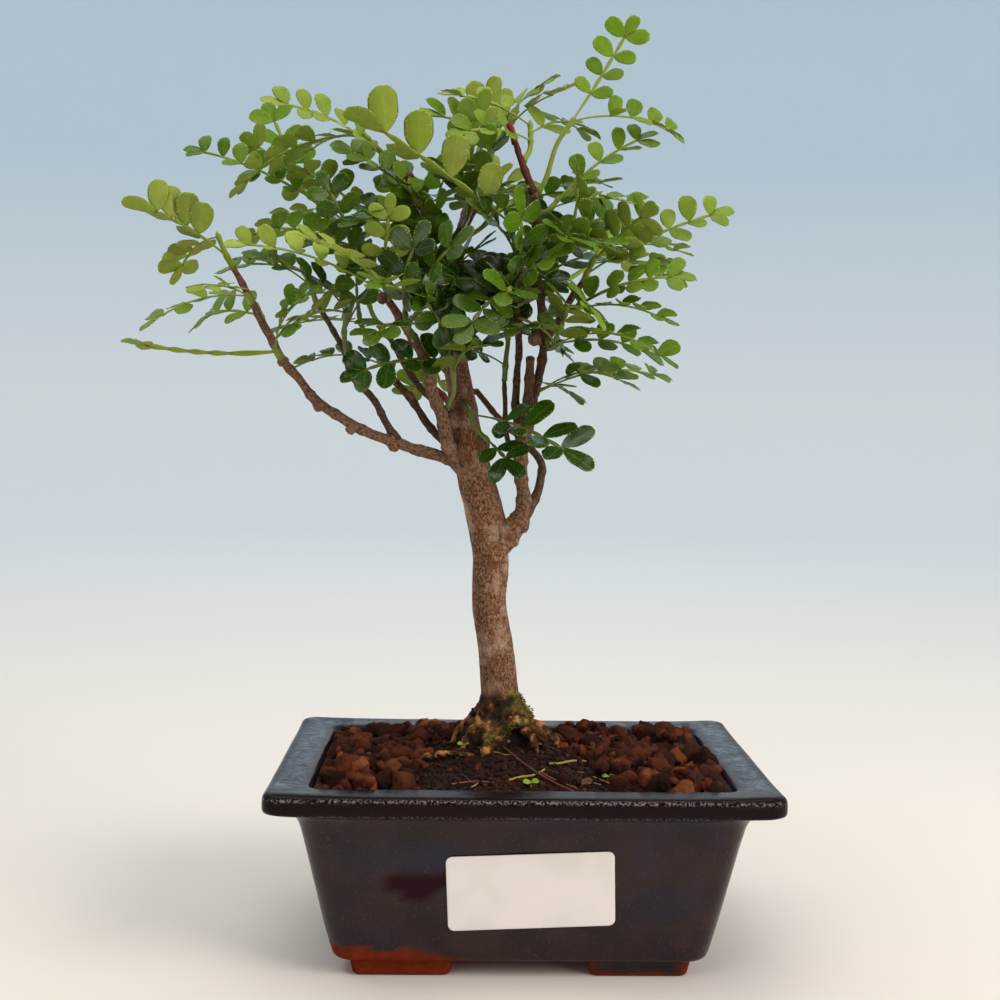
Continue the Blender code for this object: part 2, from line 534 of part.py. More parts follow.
def build_trunk(parts, finish):
    """Root flare, trunk, branches and bud knobs, grown together."""
    pieces = [flare("flare", (54.0, 58.0, 62.0, 65.0, 68.0, 71.0, 75.0, 80.0, 84.0), 0.0, parts)]
    for name in WOOD:
        thick = WOOD[name][0][3] > 5
        pieces.append(tube(name, wood_route(name), parts, 3 if thick else 1))
    for index, (x, y, z, radius) in enumerate(KNOBS):
        bpy.ops.mesh.primitive_ico_sphere_add(subdivisions=1, radius=radius * MM)
        knob = bpy.context.object
        turn = Matrix.Rotation(0.7 * index, 4, (0.4, 0.7, 0.6))
        knob.data.transform(Matrix.Translation(metres((x, y, z))) @ turn)
        pieces.append(knob)
    trunk = fuse("trunk", pieces)
    trunk.data.materials.clear()
    trunk.data.materials.append(finish)
    return trunk


def point_along(route, share):
    """The place, the radius and the direction at a share of a route's length."""
    places = route[:, :3]
    steps = np.linalg.norm(np.diff(places, axis=0), axis=1)
    reach = np.concatenate([[0.0], np.cumsum(steps)])
    at = share * reach[-1]
    index = min(int(np.searchsorted(reach, at, side="right")) - 1, len(steps) - 1)
    part = (at - reach[index]) / steps[index]
    value = route[index] + (route[index + 1] - route[index]) * part
    return value[:3], value[3], unit(places[index + 1] - places[index])


class Sheet:
    """A thin surface of points and triangles, in millimetres."""

    def __init__(self):
        self.points = []
        self.triangles = []

    def add(self, *points):
        first = len(self.points)
        self.points.extend(np.asarray(point, dtype=float) for point in points)
        return list(range(first, first + len(points)))

    def ladder(self, left, right, tip=None):
        """Triangles between two rows of points that run side by side, and on to a tip."""
        for row in range(len(left) - 1):
            self.triangles.append((left[row], right[row], right[row + 1]))
            self.triangles.append((left[row], right[row + 1], left[row + 1]))
        if tip is not None:
            self.triangles.append((left[-1], right[-1], tip))

    def slab(self, thickness):
        """Points and triangles of the sheet as a closed slab, for testing what it would touch."""
        points = np.array(self.points)
        triangles = np.array(self.triangles)
        corners = points[triangles]
        normals = np.cross(corners[:, 1] - corners[:, 0], corners[:, 2] - corners[:, 0])
        at_points = np.zeros_like(points)
        for corner in range(3):
            np.add.at(at_points, triangles[:, corner], normals)
        at_points /= np.linalg.norm(at_points, axis=1)[:, None]
        half = at_points * thickness / 2
        count = len(points)
        faces = [tuple(face) for face in triangles] + [tuple(face[::-1] + count)
                                                       for face in triangles]
        edges = {}
        for a, b, c in self.triangles:
            for start, end in ((a, b), (b, c), (c, a)):
                edges[(start, end)] = True
        for start, end in edges:
            if (end, start) not in edges:
                faces.append((start, start + count, end + count))
                faces.append((start, end + count, end))
        return np.vstack([points + half, points - half]), faces


def frond_frame(start, tip, face, bow, share):
    """Place, direction, side and upper normal at a share of a frond's arched rachis:
    start + chord * share + normal * 4 * bow * share * (1 - share)."""
    chord = tip - start
    along = unit(chord)
    rise = unit(face - along * (face @ along))
    place = start + chord * share + rise * 4 * bow * share * (1 - share)
    direction = unit(chord + rise * 4 * bow * (1 - 2 * share))
    side = unit(np.cross(direction, rise))
    return place, direction, side, np.cross(side, direction)


def leaflet(sheet, left_base, right_base, axis, normal, length, width, steps):
    """A leaflet cut to the rib: widest a little past its middle, x = length * h ** 0.75 and
    y = width / 2 * sin, where h = (1 - cos) / 2."""
    origin = (sheet.points[left_base] + sheet.points[right_base]) / 2
    across = unit(np.cross(axis, normal))
    left = [left_base]
    right = [right_base]
    for step in range(1, steps + 1):
        angle = math.pi * step / (steps + 1)
        along = origin + axis * length * ((1 - math.cos(angle)) / 2) ** 0.75
        out = across * width / 2 * math.sin(angle)
        left += sheet.add(along - out)
        right += sheet.add(along + out)
    tip = sheet.add(origin + axis * length)[0]
    sheet.ladder(left, right, tip)


def frond_sheet(start, tip, face, bow, pairs, length, rise, first, grow=0.0, bare=False):
    """A compound leaf as one thin sheet: a strip along the rachis with pairs of leaflets and
    one at its tip. grow makes every leaflet larger, bare leaves out the stalk's first stretch."""
    sheet = Sheet()
    reach = np.linalg.norm(tip - start)
    last = 1 - length / reach
    shares = np.linspace(min(first, last * 0.9), last, pairs)
    half = STALK_WIDTH / 2 + grow
    base = 0.7 / reach
    lift = math.radians(rise)
    lean = math.radians(LEAFLET_ANGLE)
    steps = 2 if length > 11 else 1
    width = length * LEAFLET_BROAD + 2 * grow
    length = length + grow
    rows_left = []
    rows_right = []

    def row(share):
        place, _, side, _ = frond_frame(start, tip, face, bow, share)
        left, right = sheet.add(place - side * half, place + side * half)
        rows_left.append(left)
        rows_right.append(right)

    row(shares[0] * 0.5 if bare else 0.0)
    for share in shares:
        row(share - base)
        row(share + base)
    if shares[-1] + 2 * base < last:
        row(last)
    sheet.ladder(rows_left, rows_right)
    for index, share in enumerate(shares):
        _, direction, side, normal = frond_frame(start, tip, face, bow, share)
        lower, upper = 1 + 2 * index, 2 + 2 * index
        size = 0.86 + 0.14 * math.sin(math.pi * (index + 1) / (pairs + 1))
        for way in (-1, 1):
            out = side * way * math.cos(lift) + normal * math.sin(lift)
            axis = unit(direction * math.cos(lean) + out * math.sin(lean))
            flat = normal * math.cos(lift) - side * way * math.sin(lift)
            flat = unit(flat - axis * (flat @ axis))
            rows = rows_right if way > 0 else rows_left
            ends = (rows[upper], rows[lower]) if way > 0 else (rows[lower], rows[upper])
            leaflet(sheet, *ends, axis, flat, length * size, width * size, steps)
    _, direction, side, normal = frond_frame(start, tip, face, bow, last)
    leaflet(sheet, rows_left[-1], rows_right[-1], direction, normal, length, width, steps)
    return sheet


def turned(start, tip, yaw, pitch, size):
    """A frond's tip after it is turned about the upright line, tipped up and made smaller."""
    chord = Vector(tip - start) * size
    level = Vector((chord.y, -chord.x, 0.0))
    if level.length < 0.001:
        level = Vector((1.0, 0.0, 0.0))
    chord.rotate(Matrix.Rotation(math.radians(pitch), 3, level))
    chord.rotate(Matrix.Rotation(math.radians(yaw), 3, "Z"))
    return start + np.array(chord)


def chosen_turns():
    """Small changes tried on a frond with a chosen tip, the smallest first."""
    for size in (1.0, 0.92, 0.84):
        for turn in (0, 4, 8, 12, 17, 23):
            for yaw, pitch in ((turn, 0), (-turn, 0), (0, turn), (0, -turn), (turn, turn),
                               (-turn, turn), (turn, -turn), (-turn, -turn)):
                yield yaw, pitch, size


def free_turns():
    """Changes tried on a frond that is placed by rule."""
    for size in (1.0, 0.85, 0.72):
        for yaw in (0, 20, -20, 40, -40, 65, -65, 95, -95, 130, -130, 180):
            for pitch in (0, 14, -14, 28):
                yield yaw, pitch, size


class Crown:
    """Keeps what is already placed, and finds a place where a new frond touches none of it."""

    def __init__(self, trunk):
        points = np.array([corner.co for corner in trunk.data.vertices]) / MM - SHIFT
        faces = [tuple(face.vertices) for face in trunk.data.polygons]
        self.wood = BVHTree.FromPolygons(points.tolist(), faces)
        self.placed = []

    def add(self, spray, kind, points, faces):
        tree = BVHTree.FromPolygons(points.tolist(), faces)
        self.placed.append((spray, kind, points.min(0), points.max(0), tree))

    def free(self, spray, whole, blade):
        """True where the whole frond clears the wood and other shoots, and its blade also
        clears its own shoot."""
        trees = [BVHTree.FromPolygons(points.tolist(), faces) for points, faces in (whole, blade)]
        if trees[0].overlap(self.wood):
            return False
        low, high = whole[0].min(0), whole[0].max(0)
        for other, kind, other_low, other_high, tree in self.placed:
            if (low > other_high).any() or (high < other_low).any():
                continue
            if other != spray and kind != "blade" and trees[0].overlap(tree):
                return False
            if other == spray and kind != "whole" and trees[1].overlap(tree):
                return False
        return True


def round_slab(route, grow):
    """Points and faces of a six-sided stem with its radius grown, for testing what it touches."""
    points = []
    faces = []
    sides = 6
    for index, (x, y, z, radius) in enumerate(route):
        ahead = route[min(index + 1, len(route) - 1)][:3] - route[max(index - 1, 0)][:3]
        along = unit(ahead)
        first = unit(np.cross(along, (0.3, 0.9, 0.31)))
        second = np.cross(along, first)
        shift = along * (-grow if index == 0 else grow if index == len(route) - 1 else 0.0)
        for side in range(sides):
            angle = 2 * math.pi * side / sides
            out = first * math.cos(angle) + second * math.sin(angle)
            points.append(np.array((x, y, z)) + shift + out * (radius + grow))
        if index:
            for side in range(sides):
                a = (index - 1) * sides + side
                b = (index - 1) * sides + (side + 1) % sides
                faces.append((a, b, b + sides, a + sides))
    faces.append(tuple(range(sides)))
    faces.append(tuple(range(len(points) - sides, len(points))))
    return np.array(points), faces


def shoot_route(spray, crown):
    """The shoot's own stem: from just clear of the bark, through its points, thinner outwards."""
    branch, share = spray["on"]
    bark, _, _ = point_along(wood_route(branch), share)
    ends = np.array(spray["stem"], dtype=float)
    toward = unit(ends[0] - bark)
    for step in range(120):
        start = bark + toward * 0.1 * step
        line = [start] + [end for end in ends if (end - start) @ toward > 1.0]
        if len(line) < 2:
            line.append(start + toward * 3.0)
        radii = np.linspace(1.0, 0.75, len(line))
        route = smooth_route(np.column_stack([line, radii]), 1)
        points, faces = round_slab(route, CLEAR + 0.1)
        if not BVHTree.FromPolygons(points.tolist(), faces).overlap(crown.wood):
            inside = crown.wood.find_nearest(start)
            if (Vector(start) - inside[0]).dot(inside[1]) > 0:
                return route
    raise RuntimeError("no clear start for the shoot on " + branch)


def rule_frond(route, index, rng):
    """A frond placed by rule: each one turns 137.5 degrees round the shoot from the last,
    leans away from it and outwards, and hangs a little."""
    draws = rng.uniform(0, 1, 6)
    share = 0.35 + 0.6 * draws[0]
    start, _, along = point_along(route, share)
    first = unit(np.cross(along, (0.31, 0.2, 0.93)))
    second = np.cross(along, first)
    turn = math.radians(137.5) * index + 2.2 * draws[1]
    outward = start - np.array(CROWN_MIDDLE)
    level = unit(outward * (1.0, 1.0, 0.3))
    lean = math.radians(48 + 30 * draws[2])
    way = along * math.cos(lean) + (first * math.cos(turn) + second * math.sin(turn)) * math.sin(lean)
    way = unit(unit(way) + 0.45 * level + np.array((0.0, 0.0, -0.12)))
    reach = 29 + 9 * draws[3]
    face = np.array((0.0, -0.2, 1.0)) + level * (0.3 + 1.1 * draws[4])
    bow = 2.5 + 3.0 * draws[5]
    return share, start + way * reach, face, bow


def place_fronds(crown, routes):
    """Chosen fronds of every shoot first, then those placed by rule. Each takes the first of
    its turns that is clear."""
    rng = np.random.default_rng(FROND_SEED)
    placed = [[] for _ in SPRAYS]
    wanted = []
    for index, spray in enumerate(SPRAYS):
        for share, tip, face, bow, pairs, length, rise, *first in spray["fronds"]:
            wanted.append((index, share, np.array(tip, dtype=float), np.array(face), bow, pairs,
                           length, rise, *(first or [FIRST_PAIR]), chosen_turns))
    for index, spray in enumerate(SPRAYS):
        for number in range(spray["fill"]):
            share, tip, face, bow = rule_frond(routes[index], number, rng)
            wanted.append((index, share, tip, face, bow, FILL_PAIRS, FILL_LEAFLET, FILL_RISE,
                           FILL_FIRST, free_turns))
    for index, share, tip, face, bow, pairs, length, rise, first, turns in wanted:
        start, _, _ = point_along(routes[index], share)
        for yaw, pitch, size in turns():
            end = turned(start, tip, yaw, pitch, size)
            values = (start, end, face, bow * size, pairs, length * math.sqrt(size), rise, first)
            whole = frond_sheet(*values, grow=0.4).slab(BLADE + 2 * CLEAR)
            blade = frond_sheet(*values, grow=0.4, bare=True).slab(BLADE + 2 * CLEAR)
            if crown.free(index, whole, blade):
                placed[index].append(values)
                crown.add(index, "whole", *frond_sheet(*values).slab(BLADE))
                crown.add(index, "blade", *frond_sheet(*values, bare=True).slab(BLADE))
                break
        else:
            print("no clear place for a frond on shoot", index + 1)
    return placed


def build_spray(number, route, fronds, parts, finish):
    """A green shoot with its fronds, grown together."""
    name = "spray_%02d" % number
    pieces = [tube("shoot", route, parts, 0)]
    for values in fronds:
        sheet = frond_sheet(*values)
        mesh = bpy.data.meshes.new("frond")
        mesh.from_pydata(metres(sheet.points).tolist(), [], sheet.triangles)
        frond = bpy.data.objects.new("frond", mesh)
        parts.objects.link(frond)
        thick = frond.modifiers.new("thickness", "SOLIDIFY")
        thick.thickness = BLADE * MM
        thick.offset = 0.0
        pieces.append(to_mesh(frond))
    spray = fuse(name, pieces)
    spray.data.materials.clear()
    spray.data.materials.append(finish)
    return spray


def build_label(parts, finish):
    """A thin plain plate with round corners, just clear of the sloping front wall."""
    size_x, size_z = LABEL_SIZE
    curve = bpy.data.curves.new("blank_label", "CURVE")
    curve.dimensions = "2D"
    curve.fill_mode = "BOTH"
    curve.extrude = LABEL_THICKNESS / 2 * MM
    outline = rounded_rectangle(size_x / 2, size_z / 2, 2.0, 0.0)
    spline = curve.splines.new("POLY")
    spline.points.add(len(outline) - 1)
    for point, (x, y, _) in zip(spline.points, outline):
        point.co = (x * MM, y * MM, 0.0, 1.0)
    spline.use_cyclic_u = True
    label = bpy.data.objects.new("blank_label", curve)
    parts.objects.link(label)
    x, z = LABEL_PLACE
    low = -outer_half(z - 5)[1]
    high = -outer_half(z + 5)[1]
    slope = math.atan2(low - high, 10.0)
    wall_y = -outer_half(z)[1]
    gap = (FIT + LABEL_THICKNESS / 2) / math.cos(slope)
    place = Matrix.Translation(metres((x, wall_y - gap, z)))
    label.matrix_world = (place @ Matrix.Rotation(math.pi / 2 + slope, 4, "X")
                          @ Matrix.Rotation(math.radians(LABEL_TURN), 4, "Z"))
    label = to_mesh(label)
    label.data.materials.clear()
    label.data.materials.append(finish)
    return label


def main():
    clear_scene()
    parts = new_collection("chinese_pepper_bonsai")
    cutters = new_collection("cutters")
    layer = bpy.context.view_layer.layer_collection.children["chinese_pepper_bonsai"]
    bpy.context.view_layer.active_layer_collection = layer
    build_pot(parts, cutters, material("dark_glaze", COLORS["pot"], 0.25))
    build_soil(parts, cutters, material("humus_and_clay", COLORS["soil"], 0.95))
    trunk = build_trunk(parts, material("bark", COLORS["bark"], 0.85))
    build_label(parts, material("blank_paper", COLORS["label"], 0.6))
    leaf = material("green_leaf", COLORS["leaf"], 0.45)
    crown = Crown(trunk)
    routes = []
    for index, spray in enumerate(SPRAYS):
        route = shoot_route(spray, crown)
        routes.append(route)
        crown.add(index, "shoot", *round_slab(route, 0.0))
    fronds = place_fronds(crown, routes)
    for index in range(len(SPRAYS)):
        build_spray(index + 1, routes[index], fronds[index], parts, leaf)


main()
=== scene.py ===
import math
from functools import partial

import bpy
import numpy as np
from mathutils import Matrix, Vector
from mathutils.bvhtree import BVHTree


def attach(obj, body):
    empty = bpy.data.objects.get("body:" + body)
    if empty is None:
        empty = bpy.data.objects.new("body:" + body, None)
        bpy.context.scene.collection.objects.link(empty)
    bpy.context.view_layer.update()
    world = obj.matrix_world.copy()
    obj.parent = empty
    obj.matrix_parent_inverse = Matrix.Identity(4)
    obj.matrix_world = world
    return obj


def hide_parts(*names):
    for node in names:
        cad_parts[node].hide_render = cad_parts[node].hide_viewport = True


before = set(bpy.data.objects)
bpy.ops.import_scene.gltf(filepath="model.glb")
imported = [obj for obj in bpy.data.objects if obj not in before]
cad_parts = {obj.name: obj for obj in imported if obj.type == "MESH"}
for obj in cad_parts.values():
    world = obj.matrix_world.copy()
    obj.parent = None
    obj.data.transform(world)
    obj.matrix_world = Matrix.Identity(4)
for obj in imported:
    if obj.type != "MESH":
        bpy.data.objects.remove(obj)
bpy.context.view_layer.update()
print("frame loaded:", len(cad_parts), "solids")

scene = bpy.context.scene
potMiddle = np.array([23.5, -5.5, 0.0])  # the pot's middle in the object's own frame
metre = 0.001


def placed(points):
    # millimetres from the pot's middle, turned to metres in the object's frame
    return (np.asarray(points, dtype=float) + potMiddle) * metre


def unit(vectors):
    # vectors divided by their length
    return vectors / np.linalg.norm(vectors, axis=-1, keepdims=True)


def together(*values):
    # arrays and numbers, stretched to one shape, as the last axis of one array
    return np.stack(np.broadcast_arrays(*values), -1)


def hexColor(text):
    # sRGB hex to linear: c / 12.92 up to 0.04045, and ((c + 0.055) / 1.055) ** 2.4 above
    values = np.array([int(text[i:i + 2], 16) for i in (1, 3, 5)]) / 255
    linear = np.where(values <= 0.04045, values / 12.92, ((values + 0.055) / 1.055) ** 2.4)
    return (*linear.tolist(), 1.0)


def roughness3d(points, size, seed=0, octaves=1):
    # smooth noise from -1 to 1: random numbers on a lattice of cells, blended by 3t^2 - 2t^3,
    # and for each further octave half the size at half the strength
    total, strengths = 0.0, 0.0
    for octave in range(octaves):
        scaled = np.asarray(points) / (size / 2 ** octave) + 19.7 * seed + 7.3 * octave
        cell = np.floor(scaled).astype(np.int64)
        t = scaled - cell
        t = t * t * (3 - 2 * t)
        value = 0.0
        for corner in range(8):
            step = np.array([corner & 1, corner >> 1 & 1, corner >> 2 & 1])
            x, y, z = np.moveaxis(cell + step, -1, 0)
            key = x * 73856093 ^ y * 19349663 ^ z * 83492791
            key = (key ^ key >> 13) * 1274126177 & 0x7FFFFFFF
            weight = np.where(step, t, 1 - t).prod(-1)
            value = value + weight * ((key >> 8 & 0xFFFF) / 32767.5 - 1)
        total = total + value * 0.5 ** octave
        strengths += 0.5 ** octave
    return total / strengths


def smoothstep(low, high, value):
    # 0 up to low, 1 from high, and 3t^2 - 2t^3 between them
    t = np.clip((value - low) / (high - low), 0, 1)
    return t * t * (3 - 2 * t)


def smoothRoute(points, spans):
    # a smooth curve (Catmull-Rom) through the points, with that many steps to each stretch
    p = np.asarray(points, dtype=float)
    p = np.vstack([2 * p[0] - p[1], p, 2 * p[-1] - p[-2]])
    t = (np.arange(spans) / spans)[None, :, None]
    p0, p1, p2, p3 = (p[i:len(p) - 3 + i, None] for i in range(4))
    curve = (2 * p1 + (p2 - p0) * t + (2 * p0 - 5 * p1 + 4 * p2 - p3) * t ** 2
             + (3 * p1 - p0 - 3 * p2 + p3) * t ** 3) / 2
    return np.vstack([curve.reshape(-1, p.shape[1]), p[-2]])


def reachAlong(route):
    # the length of a route from its start to each of its points
    return np.concatenate([[0], np.cumsum(np.linalg.norm(np.diff(route[:, :3], axis=0), axis=1))])


def evenRoute(route, step):
    # the route again, with points at even steps of its length
    reach = reachAlong(route)
    at = np.linspace(0, reach[-1], max(3, int(reach[-1] / step) + 1))
    return np.stack([np.interp(at, reach, column) for column in route.T], axis=1)


def tubeRings(route, sides, reference=None):
    # rings of middle + radius * (side * cos a + up * sin a) along a route, and their directions
    middle, radius = route[:, :3], route[:, 3]
    along = unit(np.gradient(middle, axis=0))
    if reference is None:
        reference = np.eye(3)[np.abs(along).max(0).argmin()]
    side = unit(reference - (along @ reference)[:, None] * along)
    up = np.cross(along, side)
    angle = 2 * np.pi * np.arange(sides) / sides
    out = np.cos(angle)[:, None] * side[:, None] + np.sin(angle)[:, None] * up[:, None]
    return middle[:, None] + radius[:, None, None] * out, out


def closedFaces(rows, columns):
    # quads between rings of points and fans of triangles to a pole before and after them
    r, c = np.arange(rows - 1)[:, None] * columns, np.arange(columns)
    ahead = (c + 1) % columns
    quads = together(r + c, r + ahead, r + ahead + columns, r + c + columns)
    last = (rows - 1) * columns
    first = together(ahead, c, rows * columns)
    final = together(last + c, last + ahead, rows * columns + 1)
    return quads.reshape(-1, 4), np.vstack([first, final])


def skin(rings, poles, **values):
    # closed surfaces over rings of points, (rows, columns, 3) or (copies, rows, columns, 3),
    # with poles (2, 3) or (copies, 2, 3); values are 3 numbers for each point, and each pole
    # takes the mean of the ring beside it
    if rings.ndim == 3:
        rings, poles = rings[None], np.asarray(poles, dtype=float)[None]
        values = {name: np.asarray(value)[None] for name, value in values.items()}
    copies, rows, columns = rings.shape[:3]
    quads, triangles = closedFaces(rows, columns)
    size = rows * columns + 2
    start = (np.arange(copies) * size)[:, None, None]
    points = np.concatenate([rings.reshape(copies, -1, 3), poles], axis=1)
    made = {"points": points.reshape(-1, 3), "quads": (quads + start).reshape(-1, 4),
            "triangles": (triangles + start).reshape(-1, 3), "values": {}}
    for name, value in values.items():
        value = np.broadcast_to(value, rings.shape)
        ends = np.stack([value[:, 0].mean(1), value[:, -1].mean(1)], axis=1)
        value = np.concatenate([value.reshape(copies, -1, 3), ends], axis=1)
        made["values"][name] = value.reshape(-1, 3)
    corners = made["points"][np.vstack([made["quads"][:, :3], made["quads"][:, [0, 2, 3]],
                                        made["triangles"]])]
    volume = (corners[:, 0] * np.cross(corners[:, 1], corners[:, 2])).sum()
    if volume < 0:
        made["quads"], made["triangles"] = made["quads"][:, ::-1], made["triangles"][:, ::-1]
    return made


def makePiece(name, shapes, material):
    # one mesh object from shapes in millimetres, with their values as point attributes
    starts = np.cumsum([0] + [len(shape["points"]) for shape in shapes])
    points = placed(np.concatenate([shape["points"] for shape in shapes]))
    quads = np.concatenate([shape["quads"] + start for shape, start in zip(shapes, starts)])
    triangles = np.concatenate([shape["triangles"] + s for shape, s in zip(shapes, starts)])
    mesh = bpy.data.meshes.new(name)
    mesh.vertices.add(len(points))
    mesh.vertices.foreach_set("co", points.ravel())
    mesh.loops.add(quads.size + triangles.size)
    mesh.loops.foreach_set("vertex_index", np.concatenate([quads.ravel(), triangles.ravel()]))
    mesh.polygons.add(len(quads) + len(triangles))
    sizes = np.concatenate([np.full(len(quads), 4), np.full(len(triangles), 3)])
    mesh.polygons.foreach_set("loop_start", np.cumsum(sizes) - sizes)
    mesh.update(calc_edges=True)
    for key in shapes[0]["values"]:
        layer = mesh.attributes.new(key, "FLOAT_VECTOR", "POINT")
        layer.data.foreach_set("vector", np.concatenate([s["values"][key] for s in shapes]).ravel())
    mesh.polygons.foreach_set("use_smooth", np.full(len(sizes), True))
    mesh.materials.append(material)
    piece = bpy.data.objects.new(name, mesh)
    scene.collection.objects.link(piece)
    return piece


def setNode(tree, node, settings=None, links=None):
    # properties or socket values of a node, colours as hex, and links to it: from a socket, or
    # from the first output in use of another node
    for key, value in (settings or {}).items():
        if str(value).startswith("#"):
            value = hexColor(value)
        if isinstance(key, int) or key in node.inputs:
            node.inputs[key].default_value = value
        else:
            setattr(node, key, value)
    for key, source in (links or {}).items():
        if hasattr(source, "outputs"):
            source = next(output for output in source.outputs if output.enabled)
        tree.links.new(source, node.inputs[key])


def addNode(tree, kind, settings=None, links=None):
    # a new shader node with its settings and links
    node = tree.nodes.new("ShaderNode" + kind)
    setNode(tree, node, settings, links)
    return node


def newMaterial(name, *attributes):
    # a material, what adds a node to it, what sets its main shader, the object's own
    # coordinates, and the three numbers of each point attribute that it reads
    material = bpy.data.materials.new(name)
    material.use_nodes = True
    tree = material.node_tree
    place = addNode(tree, "TexCoord").outputs["Object"]
    numbers = []
    for attribute in attributes:
        vector = addNode(tree, "Attribute", {"attribute_name": attribute}).outputs["Vector"]
        numbers.append(tuple(addNode(tree, "SeparateXYZ", links={0: vector}).outputs))
    finish = partial(setNode, tree, tree.nodes["Principled BSDF"])
    return material, partial(addNode, tree), finish, place, *numbers


# Camera, floor and lights

stageSettings = {
    "cameraPlace": (-19.7, -453.6, 169.9),  # where the picture is taken from
    "yaw": 1.53, "pitch": -3.2, "roll": 0.87,  # degrees
    "lens": 50.4,
    "floorColor": "#ebe6df", "farColor": "#adb7ca", "frontColor": "#5c544d",
    "glowColor": "#829297", "skyColor": "#f6f1ec", "skyStrength": 0.34,
}


def makeCamera():
    # looks along (sin yaw cos pitch, cos yaw cos pitch, sin pitch), turned by roll about that line
    yaw, pitch, roll = (math.radians(stageSettings[key]) for key in ("yaw", "pitch", "roll"))
    ahead = np.array([math.sin(yaw) * math.cos(pitch), math.cos(yaw) * math.cos(pitch), math.sin(pitch)])
    right = np.array([math.cos(yaw), -math.sin(yaw), 0.0])
    up = np.cross(right, ahead)
    side = right * math.cos(roll) + up * math.sin(roll)
    top = up * math.cos(roll) - right * math.sin(roll)
    camera = bpy.data.objects.new("camera", bpy.data.cameras.new("camera"))
    camera.data.lens = stageSettings["lens"]
    camera.data.sensor_width = 36
    camera.data.clip_start = 0.01
    turn = Matrix(np.column_stack([side, top, -ahead]).tolist()).to_4x4()
    camera.matrix_world = Matrix.Translation(placed(stageSettings["cameraPlace"])) @ turn
    scene.collection.objects.link(camera)
    scene.camera = camera


def makeFloor():
    # a plain bowl turned about the upright line: a flat floor that curves up to a far wall
    bend, sides = np.linspace(0.1, 1.57, 16), 96
    radius = np.concatenate([np.linspace(0.05, 1.6, 12), 1.6 + 0.9 * np.sin(bend), [2.5, 2.5]])
    height = np.concatenate([np.zeros(12), 0.9 - 0.9 * np.cos(bend), [1.6, 2.6]])
    angle = 2 * np.pi * np.arange(sides) / sides
    x, y = radius[:, None] * np.cos(angle), radius[:, None] * np.sin(angle)
    points = together(x, y, height[:, None]).reshape(-1, 3)
    quads, triangles = closedFaces(len(radius), sides)
    fan = triangles[triangles[:, 2] == len(points)]
    points = np.vstack([points, (0, 0, 0)])
    mesh = bpy.data.meshes.new("floor")
    mesh.from_pydata(points.tolist(), [], quads.tolist() + fan.tolist())
    mesh.polygons.foreach_set("use_smooth", np.full(len(mesh.polygons), True))
    # pale floor, bluish far wall that glows a little, darker warm wall behind the camera
    material, add, finish, place = newMaterial("mattPaintedStage")
    _, y, z = add("SeparateXYZ", links={0: place}).outputs
    share = add("MapRange", {"From Max": 0.7}, {"Value": z})
    far = add("MapRange", {"From Min": 0.15, "From Max": 1.7, "To Max": 0.3}, {"Value": y})
    share = add("Math", {"operation": "MAXIMUM"}, {0: share, 1: far})
    front = add("MapRange", {"From Min": -0.9, "From Max": -1.6}, {"Value": y})
    color = add("Mix", {"data_type": "RGBA", 6: stageSettings["floorColor"],
                        7: stageSettings["farColor"]}, {0: share})
    color = add("Mix", {"data_type": "RGBA", 7: stageSettings["frontColor"]}, {0: front, 6: color})
    glow = add("MapRange", {"From Min": -0.15, "From Max": 1.5,
                            "interpolation_type": "SMOOTHSTEP"}, {"Value": y})
    finish({"Emission Color": stageSettings["glowColor"], "Roughness": 0.9,
            "Specular IOR Level": 0.1},
           {"Base Color": color, "Emission Strength": glow})
    mesh.materials.append(material)
    floor = bpy.data.objects.new("floor", mesh)
    scene.collection.objects.link(floor)


def makeLights():
    # a large soft light overhead, a weak one at the front left, one at the right, and a pale sky
    for name, place, size, power, tint in (
            ("softTop", (-0.15, -0.1, 1.25), 1.3, 11.0, "#fffaf2"),
            ("softLeft", (-0.9, -1.0, 0.75), 0.9, 3.5, "#fffaf4"),
            ("softRight", (1.1, -0.7, 0.7), 0.8, 15.0, "#fff8f0")):
        light = bpy.data.lights.new(name, "AREA")
        light.size = size
        light.energy = power
        light.color = hexColor(tint)[:3]
        lamp = bpy.data.objects.new(name, light)
        way = np.array((0.0, 0.0, 0.15)) - np.array(place)
        lamp.location = place
        lamp.rotation_mode = "QUATERNION"
        lamp.rotation_quaternion = Vector(way).to_track_quat("-Z", "Y")
        scene.collection.objects.link(lamp)
    world = bpy.data.worlds.new("paleSky")
    world.use_nodes = True
    sky = world.node_tree.nodes["Background"].inputs
    sky["Color"].default_value = hexColor(stageSettings["skyColor"])
    sky["Strength"].default_value = stageSettings["skyStrength"]
    scene.world = world
    scene.view_settings.view_transform = "Standard"


makeCamera()
makeFloor()
makeLights()
print("camera, floor and lights made")

# The pot

potSettings = {
    "halfLength": 77.0, "halfWidth": 55.0,
    "cornerRise": 0.9,  # how far the corners of the lip stand above its sides, in mm
    "waviness": 0.16,  # how far the fired walls and rim wander, in mm
    "glazeDark": "#1b0b0f", "glazeWarm": "#2c1817", "glazeBlue": "#171b35",
    "fleck": "#5f6478", "lipDark": "#120707", "pooledBlueAndReflection": "#62727f", "deepBlue": "#16324e",
    "wornEdgeAndHighlight": "#988c8c", "plum": "#270512", "clay": "#8b3212", "clayDark": "#47170a",
    "plumPlace": (-32.0, 35.2), "plumSize": (12.5, 9.2),  # middle and top, half length and depth
    "drainRadius": 5.0, "drainX": 26.0,
    "footMiddle": (36.5, 27.0), "footHalf": (15.25, 6.0),
    "frontWall": (36.5, 5.5, 43.5, 46.5),  # its distance and height at the base and under the lip
}
